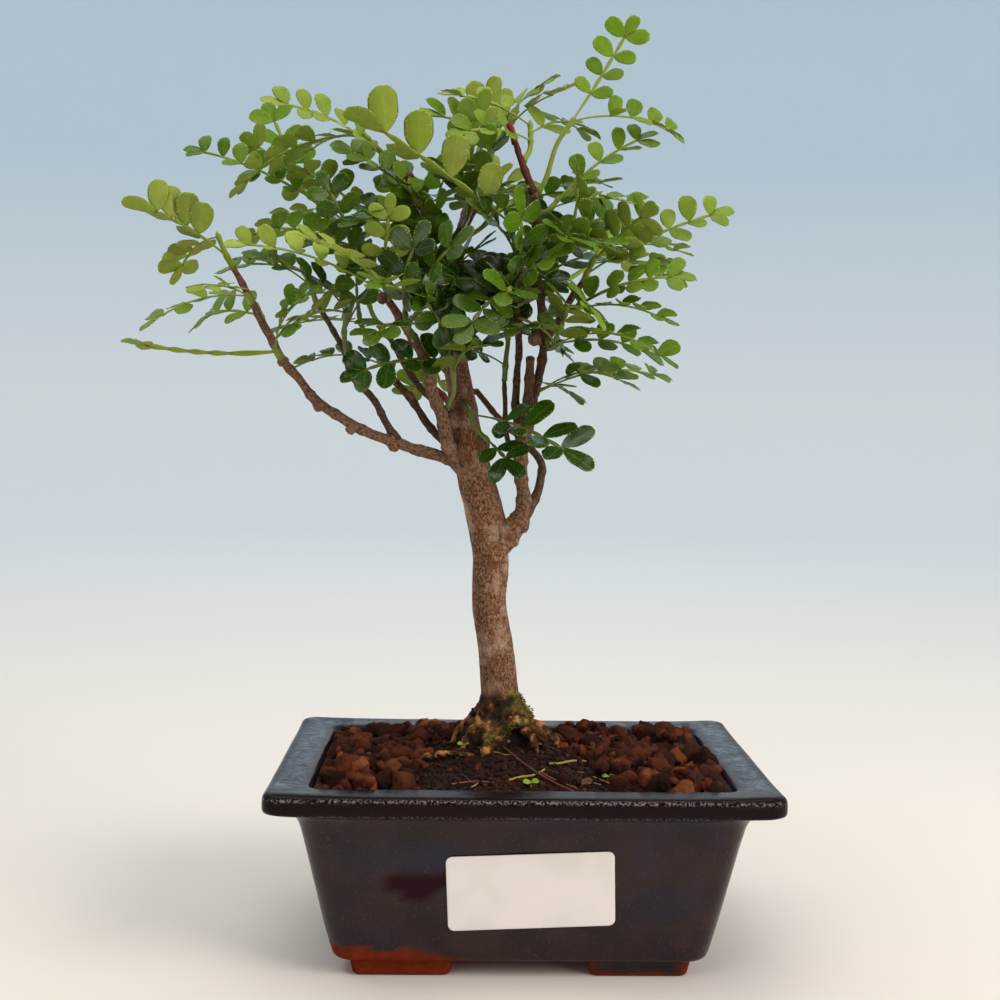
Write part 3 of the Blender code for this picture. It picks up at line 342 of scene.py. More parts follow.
# half length, half width, corner radius and height, from the base up outside and down inside
potProfile = np.array([
    (56.2, 34.7, 6, 5.5), (57.4, 35.9, 6.8, 5.9), (58.1, 36.6, 7, 7.2), (59.8, 38, 7, 14),
    (62.4, 40, 7, 26), (64.8, 41.9, 7, 37), (66.7, 43.3, 7, 45.5), (67.5, 44.1, 7, 49),
    (68.8, 45.4, 7.1, 51.8), (70.6, 47.4, 7, 53.3), (73.8, 51.4, 6, 54.1),
    (76.4, 54.4, 5.2, 54.6), (77, 55, 5, 55.6), (77, 55, 5, 58),
    (76.9, 54.9, 5, 59.6), (76.3, 54.3, 5, 60.6), (75.2, 53.2, 5, 61),
    (71, 49.5, 5.2, 60.9), (65.8, 44.6, 5.5, 60.8), (64.7, 43.7, 5.5, 60.5),
    (63.8, 42.8, 5.8, 59.2), (61.3, 40.1, 6, 48), (58.1, 36.8, 6, 34), (54.5, 33, 6, 13),
    (52.3, 30.8, 6, 10.4), (50, 29, 6, 10)])


def roundedRings(halfX, halfY, radius, height, cornerSteps=10, sideSteps=26):
    # rings round rectangles with round corners, one ring for each row of the four arrays
    turn = (np.arange(4)[:, None] + np.linspace(0, 1, cornerSteps + 1)) * math.pi / 2
    signX, signY = np.array([1, -1, -1, 1])[:, None], np.array([1, 1, -1, -1])[:, None]
    halfX, halfY, radius = (np.asarray(v, dtype=float)[:, None, None] for v in (halfX, halfY, radius))
    x = signX * (halfX - radius) + radius * np.cos(turn)
    y = signY * (halfY - radius) + radius * np.sin(turn)
    corners = together(x, y)
    share = (np.arange(1, sideSteps) / sideSteps)[:, None]
    ends, starts = corners[:, :, -1, None], np.roll(corners, -1, axis=1)[:, :, 0, None]
    sides = ends + (starts - ends) * share
    flat = np.concatenate([corners, sides], axis=2).reshape(len(x), -1, 2)
    up = np.broadcast_to(np.asarray(height, dtype=float)[:, None, None], (*flat.shape[:2], 1))
    return np.concatenate([flat, up], axis=2)


def rounded(rows, times):
    # cuts the corners of a line of points: each stretch keeps its middle half, ends stay
    for _ in range(times):
        near, far = rows[:-1] * 0.75 + rows[1:] * 0.25, rows[:-1] * 0.25 + rows[1:] * 0.75
        rows = np.vstack([rows[:1], np.stack([near, far], 1).reshape(-1, rows.shape[1]), rows[-1:]])
    return rows


def ringNormals(rings):
    # outward directions of closed rings: across a ring's step to the next and its own step
    around = np.roll(rings, -1, axis=1) - np.roll(rings, 1, axis=1)
    return unit(np.cross(around, np.gradient(rings, axis=0)) + 1e-12)


def makePot():
    # the profile carried round a rounded rectangle, wandering along its normal by slow noise
    rows = rounded(potProfile, 2)
    rings = roundedRings(*rows.T)
    wander = roughness3d(rings, 16.0, seed=1, octaves=2) + 0.35 * roughness3d(rings, 4.0, seed=2)
    firm = smoothstep(6.0, 9.0, rings[..., 2])
    corner = (rings[..., 0] * rings[..., 1] / (rows[:, None, 0] * rows[:, None, 1])) ** 6
    lip = smoothstep(53.5, 54.6, rows[:, 3]) * smoothstep(66.0, 75.0, rows[:, 0])
    rings[..., 2] += potSettings["cornerRise"] * corner * lip[:, None]
    rings = rings + ringNormals(rings) * (wander * firm * potSettings["waviness"])[..., None]
    poles = [(0, 0, rings[0, 0, 2]), (0, 0, rings[-1, 0, 2])]
    shapes = [skin(rings, poles)]
    for signX, signY in ((-1, -1), (-1, 1), (1, -1), (1, 1)):
        foot = rounded(np.array([(-2.0, 0.0), (-0.8, 0.0), (-0.2, 0.4), (0.0, 1.2), (0.6, 4.0),
                                 (1.0, 6.5)]), 2)
        halfX, halfY = potSettings["footHalf"]
        ring = roundedRings(halfX + foot[:, 0], halfY + foot[:, 0], np.full(len(foot), 2.6),
                            foot[:, 1], 5, 8)
        middle = (signX * potSettings["footMiddle"][0], signY * potSettings["footMiddle"][1], 0)
        ring = ring + middle
        shapes.append(skin(ring, [ring[0].mean(0), ring[-1].mean(0)]))
    pot = makePiece("glazed_pot", shapes, makeGlaze())
    for side in (-1, 1):
        bpy.ops.mesh.primitive_cylinder_add(
            vertices=32, radius=potSettings["drainRadius"] * metre, depth=12 * metre,
            location=placed((side * potSettings["drainX"], 0, 7.5)))
        drill = bpy.context.object
        step = pot.modifiers.new("drain", "BOOLEAN")
        step.operation, step.object, step.solver = "DIFFERENCE", drill, "EXACT"
        bpy.context.view_layer.objects.active = pot
        bpy.ops.object.modifier_apply(modifier=step.name)
        bpy.data.objects.remove(drill, do_unlink=True)
    paintZones(pot)
    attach(pot, "root")
    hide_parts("pot")


def paintZones(pot):
    # zones of the glaze at each point, from where it lies: (pooled glaze with a painted sky
    # reflection on flat tops, worn edge with a painted highlight, bare clay), (plum patch,
    # blue cast inside and on the cove, dark lip)
    mesh = pot.data
    points = np.zeros(len(mesh.vertices) * 3)
    mesh.vertices.foreach_get("co", points)
    normals = np.zeros(len(mesh.vertices) * 3)
    mesh.vertex_normals.foreach_get("vector", normals)
    points, normals = points.reshape(-1, 3) / metre - potMiddle, normals.reshape(-1, 3)
    x, y, z = points.T
    outside = np.maximum(np.abs(x) - potSettings["halfLength"], np.abs(y) - potSettings["halfWidth"])
    # the pale slate blue on the upward-facing rim tops is pooled glaze and a painted sky reflection
    pooledAndReflected = smoothstep(59.8, 60.9, z) * smoothstep(0.35, 0.9, normals[:, 2])
    pooledAndReflected = pooledAndReflected * smoothstep(-2.2, -4.2, outside + 1.2 * roughness3d(points, 5.0, seed=9))
    pooledAndReflected = pooledAndReflected * (1 - 0.9 * smoothstep(-43, -46, y)) * smoothstep(-11.4, -9.9, outside)
    pooledAndReflected = pooledAndReflected * np.clip(0.75 + 0.75 * roughness3d(points, 3.4, seed=12, octaves=4), 0, 1)
    # a pale line along the lip's upper and lower edges: worn glaze and a painted highlight
    edge = np.exp(-((z - 59.9) / 0.45) ** 2) * smoothstep(-1.6, -0.4, outside)
    lowEdge = np.exp(-((z - 55.2) / 0.4) ** 2) * smoothstep(-2.0, -0.5, outside)
    wornAndHighlight = edge * (0.7 + 0.5 * roughness3d(points, 6.0, seed=4, octaves=2)) + 0.25 * lowEdge
    skirt = 9.0 + 1.8 * roughness3d(points * (1, 1, 0), 9.0, seed=5, octaves=3)
    taper = smoothstep(14, -58, x) * smoothstep(0, -30, y) + 0.25 * smoothstep(10, -20, y)
    bare = smoothstep(0.9, 0.1, z - skirt * np.clip(taper, 0, 1))
    under = normals[:, 2] + 0.3 * smoothstep(-8, 8, x) * smoothstep(0, -20, y)
    under = smoothstep(-0.55, -0.85, under) * smoothstep(8, 6, z)
    sole = smoothstep(1.4, 0.4, z)
    # three feet are bare, the right front one is glazed but for its right end
    footed = smoothstep(6.2, 5.3, z)
    drip = x + 1.5 * roughness3d(points, 2.5, seed=11, octaves=2)
    glazedFoot = smoothstep(20.5, 23.5, drip) * smoothstep(51, 48.5, drip) * smoothstep(-15, -20, y)
    glazedFoot = glazedFoot * smoothstep(0.4, 1.6, z + 0.8 * roughness3d(points, 3.0, seed=10))
    footBare = footed * (1 - glazedFoot) * smoothstep(0.5, 0.1, normals[:, 2])
    bare = np.maximum.reduce([bare * (1 - glazedFoot), under, sole * (1 - glazedFoot), footBare])
    # the plum patch is a crescent with a flat top, left of the label
    ragged = 0.9 * roughness3d(points, 5.0, seed=8, octaves=3)
    (middle, top), (half, deep) = potSettings["plumPlace"], potSettings["plumSize"]
    along, depth = (x - middle) / half, top - z + ragged
    plum = smoothstep(-0.3, 0.6, depth) * smoothstep(0.5, -0.5, depth - deep * (1 - along ** 2))
    plum = plum * smoothstep(-30, -36, y)
    inside = smoothstep(60.4, 58.5, z) * smoothstep(0, 4, -normals[:, 0] * x - normals[:, 1] * y)
    blueCast = np.exp(-((x + 28) / 20.0) ** 2 - ((z - 40) / 4.5) ** 2)
    blueCast = blueCast + 0.7 * np.exp(-((x - 44) / 10.0) ** 2 - ((z - 26) / 6.0) ** 2)
    blueCast = np.maximum(blueCast * smoothstep(-30, -36, y),
                          0.8 * smoothstep(0.15, 0.75, roughness3d(points, 12.0, seed=21, octaves=3)))
    lip = smoothstep(53.0, 54.4, z) * np.maximum(smoothstep(-4.5, -2.0, outside),
                                                 0.8 * smoothstep(-43, -46, y))
    for name, zone in (("glazeZones", (pooledAndReflected, wornAndHighlight, bare)),
                       ("glazeTints", (plum, np.maximum(inside, 0.75 * blueCast), lip))):
        layer = mesh.attributes.new(name, "FLOAT_VECTOR", "POINT")
        layer.data.foreach_set("vector", np.stack(zone, 1).ravel())


def makeGlaze():
    # Glossy iron and cobalt glaze, poured over stoneware and fired: charcoal with a warm cast
    # and fine pale specks, nearly black on the lip, slate blue where it pools on flat tops,
    # with a painted sky reflection there, thin and glittering over the worn edge, with a
    # painted highlight there, and the red clay bare at the foot.
    material, add, finish, place, (poolAndReflectionZone, wornAndHighlightZone, bareZone), (plumZone, blueZone, lipZone) = (
        newMaterial("pouredIronCobaltGlaze", "glazeZones", "glazeTints"))
    # clouds about 16 mm across, streaks 3 mm, specks 0.6 mm, chips 1.4 mm and veins 5 mm
    mottle, streak, speck, chip, veins = (
        add("TexNoise", {"Scale": scale, "Detail": detail, "Roughness": rough}, {"Vector": place})
        for scale, detail, rough in ((62, 4, 0.55), (330, 4, 0.65), (1650, 2, 0.5),
                                     (720, 4, 0.7), (190, 6, 0.7)))
    cast, fleck, patchy, chipped, veined, glitter, gloss = (
        add("MapRange", {"From Min": low, "From Max": high, "To Min": least, "To Max": most},
            {"Value": source})
        for source, low, high, least, most in (
            (mottle, 0.4, 0.6, 0, 1), (speck, 0.64, 0.76, 0, 0.35), (streak, 0.42, 0.6, 0.1, 1),
            (chip, 0.58, 0.63, 1, 0.1), (veins, 0.42, 0.54, 0, 1), (speck, 0.47, 0.6, 0, 1),
            (streak, 0, 1, 0.14, 0.34)))
    plumShare = add("Math", {"operation": "MULTIPLY", 1: 0.92}, {0: plumZone})
    blackened = add("Math", {"operation": "MULTIPLY", 1: 0.85}, {0: lipZone})
    # the pale pooling, which is also a painted sky reflection, breaks up with the streaks and carries small
    # black chips
    poolAndReflection = add("Math", {"operation": "MULTIPLY"}, {0: poolAndReflectionZone, 1: patchy})
    poolAndReflection = add("Math", {"operation": "MULTIPLY"}, {0: poolAndReflection, 1: chipped})
    # the pale glitter on the worn edge is wear and a painted highlight
    glitter = add("Math", {"operation": "MULTIPLY"}, {0: glitter, 1: wornAndHighlightZone})
    color, pooledAndReflected, clay = (
        add("Mix", {"data_type": "RGBA", 6: potSettings[first], 7: potSettings[second]}, {0: share})
        for share, first, second in ((cast, "glazeDark", "glazeWarm"), (veined, "deepBlue", "pooledBlueAndReflection"),
                                     (streak, "clay", "clayDark")))
    for share, name in ((blueZone, "glazeBlue"), (fleck, "fleck"), (plumShare, "plum"),
                        (blackened, "lipDark")):
        color = add("Mix", {"data_type": "RGBA", 7: potSettings[name]}, {0: share, 6: color})
    color = add("Mix", {"data_type": "RGBA"}, {0: poolAndReflection, 6: color, 7: pooledAndReflected})
    color = add("Mix", {"data_type": "RGBA", 7: potSettings["wornEdgeAndHighlight"]}, {0: glitter, 6: color})
    color = add("Mix", {"data_type": "RGBA"}, {0: bareZone, 6: color, 7: clay})
    gloss = add("Mix", {"data_type": "FLOAT", 3: 0.8}, {0: bareZone, 2: gloss})
    # bare clay, the plum patch and the thick lip mirror less than the rest
    dull = add("Math", {"operation": "MAXIMUM"}, {0: bareZone, 1: plumZone})
    dull = add("Math", {"operation": "MULTIPLY_ADD", 1: 0.95}, {0: lipZone, 2: dull})
    mirror = add("MapRange", {"To Min": 0.33, "To Max": 0.1}, {"Value": dull})
    broken = add("MapRange", {"To Min": 0.08, "To Max": 0.5}, {"Value": veined})
    mirror = add("Mix", {"data_type": "FLOAT"}, {0: poolAndReflectionZone, 2: mirror, 3: broken})
    # pinholes 1.6 mm apart over a faint orange peel
    pinholes = add("TexVoronoi", {"Scale": 600.0}, {"Vector": place})
    pits = add("MapRange", {"From Max": 0.16}, {"Value": pinholes})
    peel = add("Bump", {"Strength": 0.3, "Distance": 0.0006}, {"Height": streak})
    bump = add("Bump", {"Strength": 0.25, "Distance": 0.0001}, {"Height": pits, "Normal": peel})
    finish(links={"Base Color": color, "Roughness": gloss, "Specular IOR Level": mirror, "Normal": bump})
    return material


makePot()
print("pot made")

# The blank label on the pot's front

labelSettings = {"size": (50.5, 24.3), "thickness": 0.34, "place": (2.4, 29.3), "turn": 2.5,
                 "color": "#f6efee", "stain": "#dcdcd8"}


def makeLabel():
    # a thin plate with round corners that lies along the sloping front wall
    sizeX, sizeZ = labelSettings["size"]
    half = labelSettings["thickness"] / 2
    rows = np.array([(-0.25, -half), (0.0, -half * 0.5), (0.0, half * 0.6), (-0.12, half),
                     (-0.8, half), (-4.0, half)])
    rings = roundedRings(sizeX / 2 + rows[:, 0], sizeZ / 2 + rows[:, 0],
                         np.maximum(2.0 + rows[:, 0], 0.4), rows[:, 1], 8, 20)
    rings[..., 2] += 0.05 * roughness3d(rings * (1, 1, 0), 9.0, seed=6, octaves=2)
    poles = np.array([(0, 0, -half), (0, 0, half)])
    turn = math.radians(labelSettings["turn"])
    baseY, baseZ, topY, topZ = potSettings["frontWall"]
    slope = math.atan2(topY - baseY, topZ - baseZ)
    x, z = labelSettings["place"]
    lay = np.array(Matrix.Rotation(math.pi / 2 + slope, 3, "X") @ Matrix.Rotation(turn, 3, "Z"))
    wallY = -(baseY + (topY - baseY) * (z - baseZ) / (topZ - baseZ))
    middle = np.array((x, wallY - 0.3 - half - 0.03, z))
    label = makePiece("blank_paper_label", [skin(rings @ lay.T + middle, poles @ lay.T + middle)],
                      makePaper())
    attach(label, "root")
    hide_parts("blank_label")


def makePaper():
    # Coated label paper: smooth, a little glossy, with faint fibres 0.4 mm across
    material, add, finish, place = newMaterial("coatedLabelPaper")
    fibre = add("TexNoise", {"Scale": 2500, "Detail": 3.0}, {"Vector": place})
    stain = add("TexNoise", {"Scale": 60, "Detail": 2.0}, {"Vector": place})
    grey = add("MapRange", {"From Min": 0.45, "From Max": 0.8, "To Max": 0.5}, {"Value": stain})
    color = add("Mix", {"data_type": "RGBA", 6: labelSettings["color"],
                        7: labelSettings["stain"]}, {0: grey})
    bump = add("Bump", {"Strength": 0.08, "Distance": 0.0001}, {"Height": fibre})
    finish({"Roughness": 0.42}, {"Base Color": color, "Normal": bump})
    return material


makeLabel()
print("label made")

# The trunk, its root flare and its branches

# points on the middle lines with the radius there: (x, y, z, radius)
wood = {
    "trunk": [
        (-6.4, 0, 74, 6.8), (-6.6, 0, 79, 6.2), (-7.7, 0, 92, 5.8), (-10.6, 0, 112, 5.6),
        (-10.3, 0, 125, 5.9), (-12, 0, 138, 6.3), (-15.4, 0, 151, 5.9), (-18.4, 1, 164, 5),
        (-20.4, 2, 177, 4.3), (-24, 4, 196, 4), (-25, 6, 209, 4), (-31, 7, 223, 3.4),
        (-36, 8, 233, 2.7), (-39, 8, 240, 2.1), (-43, 8, 250, 1.5)],
    "lowLeft": [
        (-15, 0, 152, 2.5), (-22, 0, 157, 2.1), (-27, -3, 158.5, 1.9), (-40, -8, 162.5, 1.7),
        (-55, -12, 168.5, 1.6), (-65, -14, 175, 1.5), (-71, -15, 182, 1.4), (-76, -16, 188, 1.3),
        (-82, -18, 199, 1.2), (-87, -20, 209, 1), (-91, -21, 216, 0.9)],
    "twig": [
        (-41, -8.2, 163, 1.2), (-48, -6, 176, 1.1), (-56, -4, 184, 1), (-58, -2, 191, 0.95),
        (-63, 0, 200, 0.9), (-68, 2, 208, 0.85)],
    "behind": [
        (-17, 1, 157, 1.7), (-26, 3, 163, 1.4), (-32, 7, 169, 1.3), (-38, 10, 178, 1.2),
        (-45, 14, 185, 1.1), (-50, 18, 193, 1), (-53, 20, 198, 0.9)],
    "farBehind": [
        (-19, 2, 168, 1.6), (-25, 7, 172, 1.3), (-36, 18, 183, 1.1), (-44, 26, 196, 1),
        (-49, 31, 202, 0.9)],
    "front": [
        (-16, -1, 153, 2.5), (-22, -3, 158, 2.3), (-25, -6, 164, 2.2), (-26.5, -9, 172, 2),
        (-29, -12, 178, 1.9), (-33, -16, 191, 1.6), (-39, -20, 200, 1.4), (-43, -22, 206, 1.2)],
    "right": [
        (-10, 0, 129, 3.4), (-5.5, -1, 133.5, 3), (-1, -2, 139, 2.6), (0, -4, 146, 2.2),
        (-1, -6, 153, 2.1), (-1, -8, 161, 2.2), (0, -9, 169, 2.1), (2, -9, 177, 1.6),
        (4, -10, 186, 1.4), (5, -11, 194, 1.3), (4, -12, 204, 1.3), (3, -13, 213, 1.3),
        (2, -14, 224, 1.35), (2, -15, 233, 1.3), (1, -16, 240, 1.3), (-2, -16, 248, 1.1),
        (-4.5, -15, 256, 0.9)],
    "rightStub": [(0, -9.5, 167, 1.6), (0.3, -12, 175, 1.55), (0.8, -13.3, 183, 1.5), (1, -14, 190, 1.3)],
    "rightTwin": [
        (-1, -8, 164, 1.4), (-3.2, -7.5, 173, 1.25), (-3, -7, 184, 1.15), (-2.5, -6, 194, 1.1),
        (-3, -5, 204, 1)],
    "thin": [
        (-1, -6, 157, 1.1), (-5, -5, 163, 0.9), (-6.5, -4.5, 171, 0.8), (-6.8, -4.5, 178, 0.75),
        (-6.8, -4.5, 184, 0.7)],
    "rightBehind": [
        (-1, -2, 139, 1.9), (3.8, 1.5, 145, 1.5), (5.8, 4, 151, 1.3), (6.2, 7, 157, 1.2),
        (1, 13, 163, 1.1), (-7, 18, 170, 1), (-16, 24, 180, 0.9)],
    "rightSide": [(5, -11, 195, 1.2), (9, -11, 201, 1.1), (13, -10, 208, 1), (17, -9, 214, 0.9)],
    "centre": [(-29, 7, 219, 2.4), (-23, 8, 229, 1.6), (-17, 7, 240, 1.3), (-13, 6, 250, 1)],
    "backLeft": [(-25, 6, 209, 2.3), (-34, 17, 216, 1.5), (-46, 30, 224, 1.2), (-58, 41, 233, 1)],
    "backRight": [(-23, 4, 194, 2.3), (-14, 16, 203, 1.6), (0, 27, 211, 1.3), (15, 36, 219, 1)],
    "back": [(-25, 6, 211, 2.2), (-25, 20, 224, 1.4), (-22, 34, 236, 1.1), (-20, 44, 246, 0.9)],
}
woodSettings = {
    "trunkSides": 92, "branchSides": 16, "trunkStep": 0.75, "branchStep": 0.75,
    "roughnessOfTrunk": 0.34, "roughnessOfBranch": 0.12, "nodeSpacing": 8.5,
    # bud knobs, pruned stubs and healed cuts: (x, y, z, radius)
    "knobs": [(-55, -12, 167, 2.1), (-65, -14, 174, 2), (-23, -5, 170, 3.2), (-1, -2, 137, 3.2),
              (-76, -16, 187.5, 1.9), (-57, -4, 184, 1.6), (1, -16, 239.5, 1.9),
              (-42, -8.5, 161.5, 2.1), (-45, -23, 207, 1.9), (-37, -19, 197, 2),
              (-31, 7, 222, 4.3), (-18, 0, 160, 6.2), (2.4, -13, 196, 2.5)],
    # short cut stubs: (start, end, radius, colour tone from 0 grey to 1 red)
    "stubs": [((-38, 8, 238), (-38, 2, 249), 1.5, 0.2), ((-5, -14, 256), (-7, -13.5, 262), 1, 1),
              ((-33, -15, 189), (-27, -17, 193), 1.2, 0.7), ((-36, 10, 176), (-38, 5, 179), 0.9, 0.5),
              ((-45, 14, 185), (-43, 10, 189), 0.9, 0.5), ((-24, -4, 175), (-29, -9, 180), 1.1, 0.6)],
    # roots that show: (points, radius at the start, moss from 0 to 1)
    "roots": [
        ([(0, -3, 72.5), (4, -5, 70.6), (7.4, -6.4, 68), (8.8, -7.5, 65), (9.3, -8, 62)], 1.9, 0),
        ([(1, -6, 71), (3.8, -8, 68.5), (5, -9, 65.5), (5.3, -9.6, 62)], 1.5, 0),
        ([(1, 1, 72), (6, 0, 70.5), (10.5, -2, 68), (12.4, -3.5, 64)], 1.8, 0.15),
        ([(-5, -8, 73), (-8.5, -10, 69), (-11, -12.4, 65.5), (-12.6, -14, 62)], 2.2, 0.7),
        ([(-13, -3, 72), (-16.5, -5, 68.5), (-18.5, -6.5, 65), (-20, -7.5, 61.5)], 1.5, 0.2),
        ([(-14, 2, 73), (-18.5, 2.5, 70), (-21, 3, 66), (-22, 3, 62)], 1.5, 0.3),
        ([(-12, 6, 72), (-16, 11, 67), (-19, 15, 62)], 1.9, 0.1),
        ([(-1, 7, 72), (3, 12, 67), (6, 16, 62)], 2, 0.4),
        ([(-33, -12.5, 62), (-29, -13.4, 63.6), (-24, -14.2, 64.4), (-19, -14.6, 64.6),
          (-15, -13, 63.4)], 1.25, 0.45)],
    "barkDark": "#341b0f", "barkMid": "#9b7150", "barkPale": "#c9a892", "barkRed": "#6b3a20",
    # the dark bark colour is painted shade on branches inside the crown
    "lenticel": "#c8a287", "youngBark": "#8f6d57", "youngDark": "#4a3022", "paintedShadeBark": "#38231a",
    "freshTip": "#7c2e1e", "crust": "#c08049", "crustMid": "#573417", "crustDark": "#22130a",
    "moss": "#7b7430", "mossDark": "#2f2c0e",
    "flareX": -6.6, "flareCrumbs": 120,
}


def angleFrom(angle, middle):
    # signed difference of two angles, from -pi to pi
    return (angle - middle + np.pi) % (2 * np.pi) - np.pi


def ridgeDistance(angle, z):
    # mm from a root ridge that winds from the right shoulder down to the front left, along
    # angle = -2 + 1.7 exp((z - 74.5) / 2.6)
    curve = 1.7 * np.exp(np.minimum(z - 74.5, 0.3) / 2.6)
    return 11 * np.abs(angleFrom(angle, curve - 2)) / np.sqrt(1 + (11 * curve / 2.6) ** 2)


def flareRadius(angle, z):
    # root flare: 6 + 0.33 down^1.15 until it nears 12.5, with a lobe to the right, one to the
    # left, the winding ridge, and a hollow under it at the front right
    down = np.maximum(82.0 - z, 0.0)
    right = 2.2 * np.exp(-(angleFrom(angle, -0.25) / 0.35) ** 2) * smoothstep(75, 66, z)
    left = 1.4 * np.exp(-(angleFrom(angle, 3.0) / 0.5) ** 2) * smoothstep(76, 72, z)
    ridge = 1.5 * np.exp(-(ridgeDistance(angle, z) / 1.9) ** 2) * smoothstep(80, 75, z)
    hollow = 4.0 * np.exp(-(angleFrom(angle, -1.05) / 0.42) ** 2) * smoothstep(72.5, 69, z)
    return 6.0 + 6.8 * np.tanh(0.33 * down ** 1.15 / 6.8) + right + left + ridge - hollow


def mossShare(angle, z, points):
    # moss on the ridge and its shoulders, broken up by noise
    ridge = np.exp(-(ridgeDistance(angle, z) / 2.6) ** 2)
    shoulder = 0.6 * np.exp(-(angleFrom(angle, -0.6) / 0.9) ** 2) * smoothstep(83, 80, z)
    patch = 0.45 + 0.85 * roughness3d(points, 2.2, 7, 4)
    share = np.maximum(ridge, shoulder * smoothstep(72, 75, z)) * (0.2 + patch)
    return 0.85 * smoothstep(0.34, 0.75, share)


def trunkShape():
    # rings of the trunk's radius, swelling into the flare, wrinkled by noise drawn out along
    # the stem; barkPlace is (round, along, 0 old to 1 young to 2 young with painted shade), barkZones
    # is (flare crust, moss, red tip or how far the crust stands out, which is lowered in hollows as painted
    # shade)
    route = smoothRoute([(-7, 0, 54, 7.0), (-7, 0, 64, 7.0)] + wood["trunk"], 10)
    route = evenRoute(route, woodSettings["trunkStep"])
    sides = woodSettings["trunkSides"]
    rings, out = tubeRings(route, sides, np.array([1.0, 0.0, 0.0]))
    angle = np.arctan2(out[..., 1], out[..., 0])
    flare = flareRadius(angle, rings[..., 2])
    low = smoothstep(85, 81, rings[..., 2])
    wide = np.maximum(flare, route[:, 3, None]) * low + route[:, 3, None] * (1 - low)
    rings = route[:, None, :3] + out * wide[..., None]
    drawn = rings * (1, 1, 0.55)
    bump = roughness3d(drawn, 2.6, 3, 3) + 0.8 * roughness3d(rings, 9.0, 4, 2)
    chunks = roughness3d(rings, 3.6, 5, 3) - 1.5 * np.abs(roughness3d(rings, 3.0, 6, 4))
    flareShare = smoothstep(86, 80, rings[..., 2] + 1.6 * roughness3d(rings, 3.0, 17, 2))
    size = route[:, 3, None] / 6.0
    rise = woodSettings["roughnessOfTrunk"] * bump * size * (1 - flareShare)
    rise = rise + 1.7 * chunks * smoothstep(83, 76, rings[..., 2])
    rings = rings + out * rise[..., None]
    youngAndShade = smoothstep(3.4, 1.4, route[:, 3, None])
    along = np.arange(len(route))[:, None] * woodSettings["trunkStep"]
    mossy = flareShare * mossShare(angle, rings[..., 2], rings)
    barkPlace = together(angle * 6.0, along, youngAndShade)
    # how far the crust stands out, which sets its tone: low in its dents and in the hollow under the ridge,
    # which paints shade there, and lower towards the bark and towards the soil
    knobs = 0.16 * np.clip(chunks + 0.3, -1, 1) - 0.09 * smoothstep(77, 80, rings[..., 2])
    hollow = np.exp(-(angleFrom(angle, -1.0) / 0.5) ** 2) * smoothstep(74, 71.5, rings[..., 2])
    knobs = knobs - 0.3 * hollow - 0.1 * smoothstep(70, 66, rings[..., 2])
    barkZones = together(flareShare, mossy, knobs * flareShare)
    poles = [route[0, :3] - (0, 0, 1), route[-1, :3] + (0, 0, 1.2)]
    return skin(rings, poles, barkPlace=barkPlace, barkZones=barkZones)


def branchShape(points, seed, parent=0.0, red=0.0, dark=0.0):
    # rings along a branch: a collar where it leaves its parent, a ring at each old leaf scar,
    # wrinkles drawn out along it, and a rounded end
    route = evenRoute(smoothRoute(points, 8), woodSettings["branchStep"])
    reach = np.arange(len(route)) * woodSettings["branchStep"]
    radius = route[:, 3]
    collar = 0.55 * np.exp(-(np.maximum(reach - parent, 0) / (1.6 * radius[0])) ** 2) * (parent > 0)
    spacing = woodSettings["nodeSpacing"] * (1 + 0.25 * math.sin(7.0 * seed))
    phase = np.abs((reach + 2.7 * seed) % spacing - spacing / 2)
    scars = 0.2 * np.exp(-(phase / 0.9) ** 2)
    bend = roughness3d(together(reach, 0, 0), 11.0, seed, 2)
    route = route.copy()
    route[:, 0] += 0.5 * bend * smoothstep(3, 9, reach)
    route[:, 2] += 0.35 * np.roll(bend, 5) * smoothstep(3, 9, reach)
    route[:, 3] = radius * (1 + collar + scars)
    rings, out = tubeRings(route, woodSettings["branchSides"])
    bump = roughness3d(rings * (1, 1, 0.6), 1.4, 10 + seed, 2) + roughness3d(rings, 4.0, 11, 1)
    rings = rings + out * (woodSettings["roughnessOfBranch"] * bump * radius[:, None])[..., None]
    last = unit(route[-1, :3] - route[-3, :3])
    cap = rings[-1] + (route[-1, :3] - rings[-1]) * 0.35 + last * radius[-1] * 0.45
    rings = np.concatenate([rings, cap[None]])
    angle = 2 * np.pi * np.arange(rings.shape[1]) / rings.shape[1]
    reach = np.append(reach, reach[-1] + radius[-1])
    # the young share, raised up to 2 by dark, darkens the bark as painted shade
    youngAndShade = smoothstep(3.4, 1.4, np.append(radius, radius[-1]))[:, None] * (1 + dark)
    barkPlace = together(angle * radius.mean() + 40 * seed, reach[:, None], youngAndShade)
    barkZones = together(0, 0, red * smoothstep(reach[-1] - 26, reach[-1] - 4, reach)[:, None])
    poles = [route[0, :3], route[-1, :3] + last * radius[-1] * 0.6]
    return skin(rings, poles, barkPlace=barkPlace, barkZones=barkZones)


